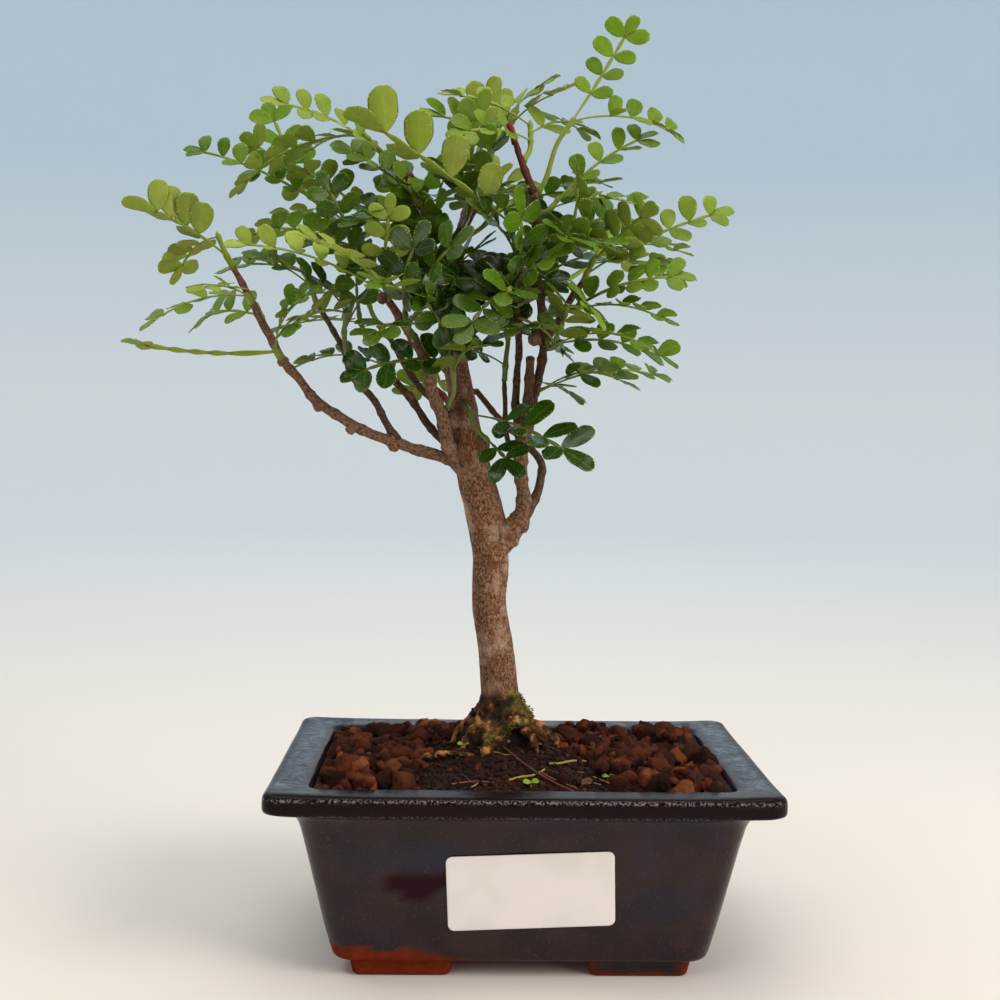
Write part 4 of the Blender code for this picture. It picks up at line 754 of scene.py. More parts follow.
def lumpShapes(middles, sizes, seed, rows=7, columns=10, rough=0.3, facets=0):
    # many rough lumps: spheres of rows x columns, cut by as many random planes as facets, at
    # d / (way . normal), squashed, dented by noise and turned
    rng = np.random.default_rng(seed)
    count = len(middles)
    polar = np.pi * np.arange(1, rows + 1) / (rows + 1)
    angle = 2 * np.pi * np.arange(columns) / columns
    flat, up = np.sin(polar)[:, None], np.cos(polar)[:, None]
    way = together(flat * np.cos(angle), flat * np.sin(angle), up)
    turns = unit(rng.normal(size=(count, 3, 3)))
    turns[:, 1] = unit(turns[:, 1] - (turns[:, 0] * turns[:, 1]).sum(1, keepdims=True) * turns[:, 0])
    turns[:, 2] = np.cross(turns[:, 0], turns[:, 1])
    squash = rng.uniform(0.72, 1.12, (count, 1, 1, 3))
    offset = rng.uniform(0, 500, (count, 1, 1, 3))
    dents = 1 + rough * roughness3d(way[None] * 1.3 + offset, 1.0, seed, 2)
    if facets:
        normals = unit(rng.normal(size=(count, facets, 3)))
        toward = np.einsum("rci,nfi->nrcf", way, normals)
        cut = rng.uniform(0.52, 0.9, (count, 1, 1, facets)) / np.maximum(toward, 0.35)
        dents = dents * np.minimum(cut.min(-1), 1.15)
    body = way[None] * dents[..., None] * squash * np.asarray(sizes)[:, None, None, None]
    rings = np.einsum("nrci,nij->nrcj", body, turns) + np.asarray(middles)[:, None, None]
    ends = np.array([(0, 0, 1.0), (0, 0, -1.0)]) * squash[:, 0] * np.asarray(sizes)[:, None, None]
    poles = np.einsum("npi,nij->npj", ends * 0.95, turns) + np.asarray(middles)[:, None]
    return rings, poles


def makeTrunk():
    # trunk, branches, cut stubs, knobs and roots as one piece; a branch starts as wide as what
    # it grows from
    shapes = [trunkShape()]
    for index, (name, points) in enumerate(wood.items()):
        if name == "trunk":
            continue
        start = np.array(points[0][:3])
        others = np.vstack([evenRoute(smoothRoute(p, 6), 1.0) for n, p in wood.items() if n != name])
        nearest = others[np.linalg.norm(others[:, :3] - start, axis=1).argmin()]
        red = 1.0 if name == "right" else 0.25 if name in ("front", "lowLeft") else 0.0
        # all branches but the low left and front ones are darkened as painted shade inside the crown
        dark = 0.0 if name in ("lowLeft", "front") else 0.6
        shapes.append(branchShape(points, index, nearest[3], red, dark))
    for index, (start, end, radius, tone) in enumerate(woodSettings["stubs"]):
        middle = (np.array(start) + end) / 2 + 0.3
        points = [(*start, radius), (*middle, radius * 0.95), (*end, radius * 0.85)]
        shapes.append(branchShape(points, 40 + index, 0.0, tone))
    knobs = np.array(woodSettings["knobs"])
    rings, poles = lumpShapes(knobs[:, :3], knobs[:, 3], 21, rough=0.35)
    place = together(rings[..., 0] * 2, rings[..., 2], 0.7)
    shapes.append(skin(rings, poles, barkPlace=place, barkZones=0 * rings))
    shapes += rootShapes()
    trunk = makePiece("bark_trunk", shapes, makeBark())
    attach(trunk, "root")
    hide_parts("trunk")


def rootShapes():
    # surface roots: tapered tubes, knobbly by noise, from the flare outwards and down into the
    # soil, and small crumbs of old root bark round the foot
    rng = np.random.default_rng(5)
    shapes = []
    for index, (points, size, moss) in enumerate(woodSettings["roots"]):
        thin = size * np.linspace(1.15, 0.55, len(points))[:, None]
        route = evenRoute(smoothRoute(np.hstack([points, thin]), 8), 0.4)
        rings, out = tubeRings(route, 18)
        knobs = roughness3d(rings, 2.4, 60 + index, 3) - 1.1 * np.abs(roughness3d(rings, 1.7, 18, 2))
        rings = rings + out * (0.65 * knobs * route[:, 3, None])[..., None]
        mossy = moss * smoothstep(-0.1, 0.5, roughness3d(rings, 2.0, 8, 3))
        place = together(rings[..., 0] * 2, rings[..., 2], 0)
        # how far each knob stands out sets the crust's tone, so the roots' dents are darker as painted
        # shade
        zones = together(1, mossy, 0.14 * np.clip(knobs + 0.3, -1, 1))
        shapes.append(skin(rings, [route[0, :3], route[-1, :3]], barkPlace=place, barkZones=zones))
    count, flareX = woodSettings["flareCrumbs"], woodSettings["flareX"]
    angle = rng.uniform(0, 2 * np.pi, count)
    z = rng.uniform(64.5, 77.0, count)
    reach = flareRadius(angle, z) - 0.6 + 0.5 * rng.uniform(0, 1, count)
    middles = together(flareX + reach * np.cos(angle), reach * np.sin(angle), z)
    rings, poles = lumpShapes(middles, rng.uniform(0.35, 1.0, count), 22, 5, 7, 0.4, 7)
    around = np.arctan2(rings[..., 1], rings[..., 0] - flareX)
    mossy = mossShare(around, rings[..., 2], rings)
    tone = rng.uniform(-0.1, 0.06, (count, 1, 1))
    place = together(rings[..., 0] * 2, rings[..., 2], 0)
    shapes.append(skin(rings, poles, barkPlace=place, barkZones=together(1, mossy, tone)))
    return shapes


def makeBark():
    # Thin bark of a young pepper tree, grown, dry and matt: brown with red-brown blotches, a
    # pale bloom and many small tan lenticels on old wood, red-brown with fine pale flecks on
    # young wood, and an ochre crust with moss at the root flare.
    material, add, finish, place, (_, _, youngAndShade), (crustZone, mossZone, redTipAndCrustShade) = newMaterial(
        "pepperTreeBark", "barkPlace", "barkZones")
    # barkPlace is in mm, so the scales below are cells to a millimetre: lenticels lie 1 mm
    # apart across the stem and 1.6 mm along it, blotches are about 4 mm
    bark = add("Attribute", {"attribute_name": "barkPlace"}).outputs["Vector"]
    flat, fibres, drawn = (add("VectorMath", {"operation": "MULTIPLY", 1: cells}, {0: bark})
                           for cells in ((1, 0.62, 0), (1.5, 0.8, 0), (0.3, 0.16, 0)))
    wander, grain, blotch, cloud, crumb, clod = (
        add("TexNoise", {"Scale": scale, "Detail": detail, "Roughness": rough}, {"Vector": source})
        for source, scale, detail, rough in (
            (flat, 1.1, 3, 0.5), (fibres, 1, 6, 0.72), (drawn, 1, 5, 0.65),
            (place, 120, 5, 0.6), (place, 420, 6, 0.75), (place, 260, 3, 0.5)))
    flat = add("VectorMath", {"operation": "ADD"}, {0: flat, 1: wander.outputs["Color"]})
    lenticels = add("TexVoronoi", {"Scale": 1, "Randomness": 1.0}, {"Vector": flat})
    # the crust is dark in its hollows, as painted shade, and towards the bark, ochre on its knobs
    crusty = add("Math", {"operation": "MULTIPLY_ADD", 1: 0.5}, {0: crumb, 2: redTipAndCrustShade})
    crusty = add("Math", {"operation": "MULTIPLY_ADD", 1: 0.5}, {0: clod, 2: crusty})
    corky, tone, bloom, red, paintedShadeShare, plain, deep, knobbly = (
        add("MapRange", {"From Min": low, "From Max": high, "To Min": least, "To Max": most},
            {"Value": source})
        for source, low, high, least, most in (
            (lenticels, 0.33, 0.2, 0, 1), (grain, 0.41, 0.59, 0, 1), (cloud, 0.5, 0.66, 0, 0.75),
            (blotch, 0.51, 0.59, 0, 0.65), (youngAndShade, 1, 2, 0, 1), (youngAndShade, 0, 1, 0.5, 0.14),
            (crusty, 0.4, 0.5, 0, 1), (crusty, 0.52, 0.61, 0, 1)))
    corkShare = add("Math", {"operation": "MULTIPLY"}, {0: corky, 1: plain})
    oldBark, youngBark, crust, green = (
        add("Mix", {"data_type": "RGBA", 6: woodSettings[dark], 7: woodSettings[pale]}, {0: share})
        for share, dark, pale in ((tone, "barkDark", "barkMid"), (tone, "youngDark", "youngBark"),
                                  (deep, "crustDark", "crustMid"), (deep, "mossDark", "moss")))
    for share, name in ((bloom, "barkPale"), (red, "barkRed")):
        oldBark = add("Mix", {"data_type": "RGBA", 7: woodSettings[name]}, {0: share, 6: oldBark})
    youngBark = add("Mix", {"data_type": "RGBA", 7: woodSettings["freshTip"]}, {0: redTipAndCrustShade, 6: youngBark})
    color = add("Mix", {"data_type": "RGBA"}, {0: youngAndShade, 6: oldBark, 7: youngBark})
    # bark with a young share above 1 is darkened as painted shade
    for share, name in ((paintedShadeShare, "paintedShadeBark"), (corkShare, "lenticel")):
        color = add("Mix", {"data_type": "RGBA", 7: woodSettings[name]}, {0: share, 6: color})
    crust = add("Mix", {"data_type": "RGBA", 7: woodSettings["crust"]}, {0: knobbly, 6: crust})
    for share, above in ((crustZone, crust), (mossZone, green)):
        color = add("Mix", {"data_type": "RGBA"}, {0: share, 6: color, 7: above})
    rise = add("Math", {"operation": "MULTIPLY_ADD", 1: 0.5}, {0: corky, 2: grain})
    bump = add("Bump", {"Strength": 0.8, "Distance": 0.0005}, {"Height": rise})
    bump = add("Bump", {"Strength": 0.35, "Distance": 0.0003}, {"Height": crumb, "Normal": bump})
    finish({"Roughness": 0.8, "Specular IOR Level": 0.3}, {"Base Color": color, "Normal": bump})
    return material


makeTrunk()
print("trunk made")

# Where the leafy shoots and their fronds are

shootSettings = {
    "seed": 137, "stalkWidth": 1.3, "blade": 0.7, "clear": 0.3, "angle": 66.0, "broad": 0.66,
    "firstPair": 0.3, "crownMiddle": (-20.0, 5.0, 205.0),
    # the solid's form of a frond that is added by rule: pairs, leaflet length, rise, first pair
    "added": (1, 8.0, 14, 0.45),
}
# each shoot: the woody part that it grows from and the share of its length, the points of its
# own stem, the number of fronds added by rule, and its chosen fronds: (share of the stem, tip,
# way that the upper side faces, bow, pairs in the solid, leaflet length, rise in degrees), and
# for some the share where the first pair is
shoots = [
    ("lowLeft", 1, [(-93, -22, 220), (-95, -23, 225)], 0, [
        (0.3, (-120, -35, 233), (0.2, 0.75, 0.65), 3, 4, 9.5, 42),
        (0.95, (-112, -6, 214), (0, -0.2, 1), 4, 2, 7.5, 14)]),
    ("lowLeft", 0.88, [(-86, -24, 207)], 1, [(0.8, (-100, -44, 205), (0, -0.3, 1), 3, 3, 7.5, 16)]),
    ("lowLeft", 0.66, [(-78, -20, 191)], 0, [
        (0.6, (-124, -25, 193), (0, -0.1, 1), -2, 1, 8.5, 8, 0.9),
        (0.9, (-62, -33, 209), (-0.6, -0.5, 0.6), 4, 3, 7, 20)]),
    ("lowLeft", 0.78, [(-83, -8, 200), (-86, -4, 206)], 1, []),
    ("twig", 1, [(-70, 4, 213), (-73, 6, 219)], 1, [(0.4, (-97, 3, 220), (0, -0.3, 1), 4, 3, 7.5, 16)]),
    ("twig", 0.55, [(-58, -6, 197), (-57, -9, 204)], 2, [
        (0.9, (-77, -25, 212), (0, -0.6, 0.8), 3, 3, 8, 14)]),
    ("front", 1, [(-44, -23, 210), (-45, -23, 214)], 1, [
        (0.1, (-92, -35, 221), (0, -0.55, 0.85), 5, 4, 8, 28),
        (0.9, (-42, -29, 238), (-0.1, -1, 0.1), 2, 3, 7.5, 16)]),
    ("front", 0.72, [(-37, -24, 198), (-38, -28, 203)], 2, []),
    ("front", 0.34, [(-23, -13, 180), (-24, -17, 191), (-25, -19, 198)], 3, []),
    ("trunk", 0.58, [(-18, -9, 173), (-16, -12, 168), (-12, -15, 164)], 0, [
        (0.4, (20, -31, 156), (0.1, -0.6, 0.8), 4, 3, 11, 16),
        (0.95, (-2, -25, 153), (0.1, -0.9, 0.4), 1, 1, 8.5, 12)]),
    ("behind", 1, [(-55, 22, 203), (-56, 24, 209)], 2, []),
    ("behind", 0.62, [(-48, 8, 190), (-50, 5, 195)], 1, []),
    ("farBehind", 1, [(-52, 35, 207), (-54, 38, 213)], 1, []),
    ("trunk", 0.72, [(-25, -3, 209), (-27, -7, 216)], 4, []),
    ("trunk", 0.84, [(-43, 1, 222), (-51, -3, 223), (-56, -5, 224)], 2, [
        (0.9, (-66, -14, 247), (0, -1, 0.25), 3, 3, 8, 16)]),
    ("trunk", 0.93, [(-50, 11, 236), (-61, 13, 235)], 2, [
        (0.95, (-114, 19, 259), (0.1, -0.75, 0.65), 5, 3, 8, 24)]),
    ("trunk", 1, [(-47, 7, 256), (-54, 8, 263)], 1, [
        (0.1, (-85, -12, 268), (0.1, -0.7, 0.7), 6, 3, 8.5, 22),
        (0.95, (-94, 1, 236), (-0.8, 0.3, 0.6), 7, 3, 8.5, 12)]),
    ("backLeft", 1, [(-68, 46, 242), (-78, 51, 251)], 2, [
        (0.95, (-93, 62, 284), (0.1, -1, 0.2), 2, 3, 9.5, 14)]),
    ("backLeft", 0.5, [(-40, 28, 228), (-41, 32, 236)], 2, []),
    ("back", 1, [(-18, 47, 252), (-17, 49, 258)], 2, []),
    ("back", 0.55, [(-14, 26, 236), (-9, 25, 243)], 2, []),
    ("backRight", 1, [(22, 39, 224), (27, 41, 230)], 2, []),
    ("backRight", 0.5, [(0, 18, 215), (4, 14, 221)], 2, []),
    ("right", 0.86, [(5, -15, 246), (8, -14, 256), (13, -13, 264)], 0, [
        (0.92, (33, -8, 298), (-0.1, -1, 0.2), -2, 5, 8, 14),
        (0.98, (50, -4, 259), (0.1, -0.6, 0.8), 5, 3, 8, 22)]),
    ("right", 0.95, [(0, -9, 256), (0, -6, 264)], 1, [
        (0.95, (-30, 2, 274), (0, -0.35, 1), 3, 3, 8.5, 18),
        (0.6, (-27, -21, 256), (0, -0.8, 0.6), 4, 3, 8, 12)]),
    ("centre", 1, [(-12, 5, 255), (-13, 5, 260)], 2, [
        (0.7, (-34, -10, 271), (0.2, -0.6, 0.7), 4, 3, 9, 14)]),
    ("centre", 0.45, [(-19, -1, 236), (-18, -6, 241)], 4, []),
    ("right", 0.79, [(-1, -21, 226)], 0, [(0.8, (-55, -46, 259), (0.4, 0.7, 0.6), 2, 5, 14, 44, 0.27)]),
    ("right", 0.83, [(6, -13, 236), (9, -11, 240)], 1, [
        (0.6, (41, -9, 262), (-0.1, -0.7, 0.7), 4, 3, 8, 22),
        (0.95, (28, 14, 248), (0, -0.3, 1), 3, 3, 8, 14)]),
    ("rightSide", 1, [(19, -9, 218), (21, -9, 222)], 2, [
        (0.3, (65, -9, 238), (-0.1, -0.8, 0.6), 4, 5, 8.5, 26),
        (0.9, (55, 8, 224), (0, -0.2, 1), 5, 3, 8, 20)]),
    ("rightSide", 0.55, [(14, -15, 205), (16, -18, 207)], 2, [
        (0.9, (50, -31, 214), (0, -0.7, 0.7), 4, 3, 8, 16),
        (0.5, (45, -33, 201), (0.1, -0.3, 1), 4, 3, 8, 16)]),
    ("right", 0.565, [(7, -14, 193), (10, -16, 195)], 2, [
        (0.9, (44, -38, 185), (0.1, -0.3, 1), 7, 3, 8, 18),
        (0.7, (-8, -45, 194), (0, -0.3, 1), 5, 3, 8.5, 12)]),
    ("right", 0.49, [(4, -8, 184), (8, -7, 187)], 0, [
        (0.95, (36, -14, 179), (0.2, -0.2, 1), 7, 3, 8, 16),
        (0.5, (16, -22, 174), (0.3, -0.2, 1), 4, 2, 7.5, 14),
        (0.8, (49, 10, 184), (0.1, -0.4, 0.9), 6, 3, 8, 16)]),
    ("rightBehind", 1, [(-19, 29, 181), (-22, 33, 186)], 1, []),
    ("right", 0.66, [(-4, -17, 206), (-8, -21, 210)], 4, []),
    ("trunk", 0.63, [(-13, 4, 196), (-9, 5, 201)], 2, []),
    ("trunk", 0.8, [(-30, -3, 226), (-31, -8, 231)], 4, []),
    ("rightTwin", 1, [(-3.5, -5, 207), (-4, -7, 212)], 3, []),
    ("thin", 1, [(-6.5, -5, 190), (-6, -5, 197), (-8, -5, 205)], 1, [
        (0.15, (-26, -17, 192), (0.1, -0.7, 0.7), 2, 1, 7.5, 16, 0.5),
        (0.95, (12, 0, 226), (0, -0.8, 0.6), 2, 1, 8, 14, 0.5)]),
    ("right", 0.71, [(8, -14, 223), (11, -15, 226)], 4, []),
    ("right", 0.68, [(-2, -11, 218), (-7, -8, 221)], 4, []),
    ("front", 0.86, [(-34, -24, 203), (-31, -27, 208)], 3, []),
    ("trunk", 0.88, [(-34, 0, 236), (-33, -5, 240)], 3, []),
    ("backRight", 0.75, [(10, 28, 221), (12, 25, 227)], 2, []),
]


def frondFrame(start, tip, face, bow, share):
    # at each share of an arched rachis: start + chord * share + rise * 4 * bow * share *
    # (1 - share), with the direction there, the side and the upper normal
    chord = tip - start
    along = unit(chord)
    rise = unit(face - along * (face @ along))
    share = np.asarray(share, dtype=float)[:, None]
    place = start + chord * share + rise * 4 * bow * share * (1 - share)
    direction = unit(chord + rise * 4 * bow * (1 - 2 * share))
    side = unit(np.cross(direction, rise))
    return place, direction, side, np.cross(side, direction)


def plainFrond(start, tip, face, bow, pairs, length, rise, first, grow=0.0, bare=False):
    # the flat form of a frond in the solid: a strip along the rachis and leaflets at
    # x = length * h ** 0.75, y = width / 2 * sin t, where h = (1 - cos t) / 2
    reach = np.linalg.norm(tip - start)
    last = 1 - length / reach
    shares = np.linspace(min(first, last * 0.9), last, pairs)
    half, base = shootSettings["stalkWidth"] / 2 + grow, 0.7 / reach
    rows = [shares[0] * 0.5 if bare else 0.0]
    for share in shares:
        rows += [share - base, share + base]
    if shares[-1] + 2 * base < last:
        rows.append(last)
    place, _, side, _ = frondFrame(start, tip, face, bow, rows)
    points = [*(place - side * half), *(place + side * half)]
    count = len(rows)
    triangles = []

    def ladder(left, right):
        # two triangles for each step between two lines of points
        for row in range(len(left) - 1):
            triangles.append((left[row], right[row], right[row + 1]))
            triangles.append((left[row], right[row + 1], left[row + 1]))

    def leaflet(left, right, axis, flat, size, width):
        # a leaflet on the edge between two points
        middle = (points[left] + points[right]) / 2
        across = unit(np.cross(axis, flat))
        lefts, rights = [left], [right]
        for step in range(1, steps + 1):
            t = math.pi * step / (steps + 1)
            at = middle + axis * size * ((1 - math.cos(t)) / 2) ** 0.75
            out = across * width / 2 * math.sin(t)
            lefts.append(len(points))
            rights.append(len(points) + 1)
            points.extend((at - out, at + out))
        ladder(lefts, rights)
        triangles.append((lefts[-1], rights[-1], len(points)))
        points.append(middle + axis * size)

    ladder(range(count), range(count, 2 * count))
    lift, lean = math.radians(rise), math.radians(shootSettings["angle"])
    steps = 2 if length > 11 else 1
    width = length * shootSettings["broad"] + 2 * grow
    length = length + grow
    _, direction, side, normal = frondFrame(start, tip, face, bow, [*shares, last])
    for index in range(pairs):
        size = 0.86 + 0.14 * math.sin(math.pi * (index + 1) / (pairs + 1))
        lower, upper = 1 + 2 * index, 2 + 2 * index
        for way, left, right in ((-1, lower, upper), (1, count + upper, count + lower)):
            out = side[index] * way * math.cos(lift) + normal[index] * math.sin(lift)
            axis = unit(direction[index] * math.cos(lean) + out * math.sin(lean))
            flat = normal[index] * math.cos(lift) - side[index] * way * math.sin(lift)
            flat = unit(flat - axis * (flat @ axis))
            leaflet(left, right, axis, flat, length * size, width * size)
    leaflet(count - 1, 2 * count - 1, direction[-1], normal[-1], length, width)
    return np.array(points), np.array(triangles)


def slab(sheet, thickness):
    # a closed slab: a surface's points moved half the thickness along the mean normal to both
    # sides, and a strip round its border
    points, triangles = sheet
    corners = points[triangles]
    normals = np.cross(corners[:, 1] - corners[:, 0], corners[:, 2] - corners[:, 0])
    outward = np.zeros_like(points)
    for corner in range(3):
        np.add.at(outward, triangles[:, corner], normals)
    half = unit(outward) * thickness / 2
    count = len(points)
    edges = [(int(t[i]), int(t[(i + 1) % 3])) for t in triangles for i in range(3)]
    border = [edge for edge in edges if edge[::-1] not in set(edges)]
    faces = triangles.tolist() + (triangles[:, ::-1] + count).tolist()
    for a, b in border:
        faces += [(a, a + count, b + count), (a, b + count, b)]
    return np.vstack([points + half, points - half]), faces


def stemSlab(route, grow):
    # a six-sided stem with its radius grown, as points and faces
    sides = 6
    points, faces = [], []
    for index, (x, y, z, radius) in enumerate(route):
        along = unit(route[min(index + 1, len(route) - 1)][:3] - route[max(index - 1, 0)][:3])
        first = unit(np.cross(along, (0.3, 0.9, 0.31)))
        second = np.cross(along, first)
        shift = along * (-grow if index == 0 else grow if index == len(route) - 1 else 0.0)
        angle = 2 * np.pi * np.arange(sides)[:, None] / sides
        points.append((x, y, z) + shift + (first * np.cos(angle) + second * np.sin(angle))
                      * (radius + grow))
        if index:
            a = (index - 1) * sides
            faces += [(a + s, a + (s + 1) % sides, a + (s + 1) % sides + sides, a + s + sides)
                      for s in range(sides)]
    points = np.concatenate(points)
    return points, faces + [tuple(range(sides)), tuple(range(len(points) - sides, len(points)))]


def pointAlong(route, share):
    # the place and the direction at a share of a route's length
    reach = reachAlong(route)
    at = share * reach[-1]
    index = min(int(np.searchsorted(reach, at, side="right")) - 1, len(reach) - 2)
    part = (at - reach[index]) / (reach[index + 1] - reach[index])
    step = route[index + 1, :3] - route[index, :3]
    return route[index, :3] + step * part, unit(step)


def turned(start, tip, yaw, pitch, size):
    # a tip after its frond is made smaller, tipped up and turned about the upright line
    chord = Vector(tip - start) * size
    chord.rotate(Matrix.Rotation(math.radians(pitch), 3, Vector((chord.y, -chord.x, 0.0))))
    chord.rotate(Matrix.Rotation(math.radians(yaw), 3, "Z"))
    return start + np.array(chord)


# changes tried on a chosen frond and on an added one, the smallest first: (yaw, pitch, size)
chosenTurns = [(turn * y, turn * p, size) for size in (1.0, 0.92, 0.84)
               for turn in (0, 4, 8, 12, 17, 23)
               for y, p in ((1, 0), (-1, 0), (0, 1), (0, -1), (1, 1), (-1, 1), (1, -1), (-1, -1))]
addedTurns = [(yaw, pitch, size) for size in (1.0, 0.85, 0.72)
              for yaw in (0, 20, -20, 40, -40, 65, -65, 95, -95, 130, -130, 180)
              for pitch in (0, 14, -14, 28)]


def closedTree(points, faces):
    # the faces in a form that finds where they cross others
    return BVHTree.FromPolygons(points.tolist(), faces)


def shootRoute(on, share, stem, bark):
    # the shoot's stem: from just clear of the bark through its points, thinner outwards
    start, _ = pointAlong(smoothRoute(wood[on], 2 if len(wood[on]) < 6 else 1), share)
    ends = np.array(stem, dtype=float)
    toward = unit(ends[0] - start)
    for step in range(120):
        first = start + toward * 0.1 * step
        line = [first] + [end for end in ends if (end - first) @ toward > 1.0]
        if len(line) < 2:
            line.append(first + toward * 3.0)
        route = np.column_stack([line, np.linspace(1.0, 0.75, len(line))])
        if not closedTree(*stemSlab(route, shootSettings["clear"] + 0.1)).overlap(bark):
            near, normal, _, _ = bark.find_nearest(first)
            if (Vector(first) - near).dot(normal) > 0:
                return route


def addedFrond(route, index, rng):
    # 137.5 degrees round the shoot from the last, leaning away from it and outwards
    draws = rng.uniform(0, 1, 6)
    share = 0.35 + 0.6 * draws[0]
    start, along = pointAlong(route, share)
    first = unit(np.cross(along, (0.31, 0.2, 0.93)))
    turn = math.radians(137.5) * index + 2.2 * draws[1]
    level = unit((start - shootSettings["crownMiddle"]) * (1.0, 1.0, 0.3))
    lean = math.radians(48 + 30 * draws[2])
    around = first * math.cos(turn) + np.cross(along, first) * math.sin(turn)
    way = unit(along * math.cos(lean) + around * math.sin(lean))
    way = unit(way + 0.45 * level + (0.0, 0.0, -0.12))
    face = (0.0, -0.2, 1.0) + level * (0.3 + 1.1 * draws[4])
    return share, start + way * (29 + 9 * draws[3]), face, 2.5 + 3.0 * draws[5]


def placeFronds():
    # the stems, then the chosen fronds, then the added ones, each in the first of its turns
    # in which its solid form clears all that is placed
    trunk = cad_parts["trunk"].data
    points = np.array([corner.co for corner in trunk.vertices]) / metre - potMiddle
    bark = closedTree(points, [tuple(face.vertices) for face in trunk.polygons])
    routes = [shootRoute(on, share, stem, bark) for on, share, stem, _, _ in shoots]
    taken = []

    def take(shoot, kind, points, faces):
        # notes a form as placed, with its box
        taken.append((shoot, kind, points.min(0), points.max(0), closedTree(points, faces)))

    def clears(shoot, whole, blade):
        # whole fronds clear other shoots, blades clear those of the same shoot
        wholeTree, bladeTree = closedTree(*whole), closedTree(*blade)
        if wholeTree.overlap(bark):
            return False
        low, high = whole[0].min(0), whole[0].max(0)
        for other, kind, otherLow, otherHigh, tree in taken:
            if (low > otherHigh).any() or (high < otherLow).any():
                continue
            if other != shoot and kind != "blade" and wholeTree.overlap(tree):
                return False
            if other == shoot and kind != "whole" and bladeTree.overlap(tree):
                return False
        return True

    for index, route in enumerate(routes):
        take(index, "stem", *stemSlab(route, 0.0))
    wanted = []
    for index, shoot in enumerate(shoots):
        for share, tip, face, bow, pairs, length, rise, *first in shoot[4]:
            first = first[0] if first else shootSettings["firstPair"]
            wanted.append((index, share, np.array(tip, dtype=float), np.array(face), bow,
                           (pairs, length, rise, first), chosenTurns))
    rng = np.random.default_rng(shootSettings["seed"])
    for index, shoot in enumerate(shoots):
        for number in range(shoot[3]):
            wanted.append((index, *addedFrond(routes[index], number, rng), shootSettings["added"],
                           addedTurns))
    placedFronds = [[] for _ in shoots]
    room = shootSettings["blade"] + 2 * shootSettings["clear"]
    for index, share, tip, face, bow, (pairs, length, rise, first), turns in wanted:
        start, _ = pointAlong(routes[index], share)
        for yaw, pitch, size in turns:
            end = turned(start, tip, yaw, pitch, size)
            form = (start, end, face, bow * size, pairs, length * math.sqrt(size), rise, first)
            whole = slab(plainFrond(*form, grow=0.4), room)
            blade = slab(plainFrond(*form, grow=0.4, bare=True), room)
            if clears(index, whole, blade):
                placedFronds[index].append((*form, turns is addedTurns))
                take(index, "whole", *slab(plainFrond(*form), shootSettings["blade"]))
                take(index, "blade", *slab(plainFrond(*form, bare=True), shootSettings["blade"]))
                break
    return routes, placedFronds


shootRoutes, shootFronds = placeFronds()
print("fronds placed:", sum(len(fronds) for fronds in shootFronds))

# The shoots themselves, with every leaflet

leafSettings = {
    "broad": 0.67, "fineBroad": 0.6,  # width by length, of leaflets over and under 8 mm
    "tipBroad": 0.56, "thickness": 0.28, "stalkHalf": 0.36, "wing": 0.0042,
    "stalkThick": 0.28, "bareThick": 0.85, "bareWing": 1.5,
    # an added frond's leaflets beside its solid's: longer, most so near the trunk, and closer
    "addedLength": 1.1, "addedMiddle": 0.2, "addedFirst": 0.15, "addedSpacing": 0.7,
    "spacing": 0.8, "fineSpacing": 0.56,  # from pair to pair, in leaflet lengths
    # the darker colour of old fronds here is also painted shade inside the crown
    "middle": (-22.0, 2.0, 208.0),  # fronds are oldest here and newest far out and high up
    # fronds whose age the photo shows, by shoot: 0 just open, 1 old and dark
    "ages": {7: 0.06, 10: 0.95, 16: 0.55, 18: 0.5, 24: 0.42, 28: 0.33, 30: 0.3, 31: 0.42},
    "bareFrond": 3,  # the shoot whose first frond has lost its leaflets but the last
    # leaflets that differ, by shoot: length beside the solid's, spacing, width by length
    "habits": {1: (1.15, 0.5, 0.74), 10: (1.12, 0.72, 0.52), 33: (1.08, 0.74, 0.67)},
    "upperOld": "#1c380a", "upperMid": "#587912", "upperNew": "#93a444",
    "underOld": "#4b611a", "underMid": "#72812a", "underNew": "#a1a654",
    "rib": "#a3ad4a", "stalk": "#849638", "stalkOld": "#5f6b26", "joint": "#74602c",
    "edge": "#3f4c12", "gland": "#ccd27a",
}


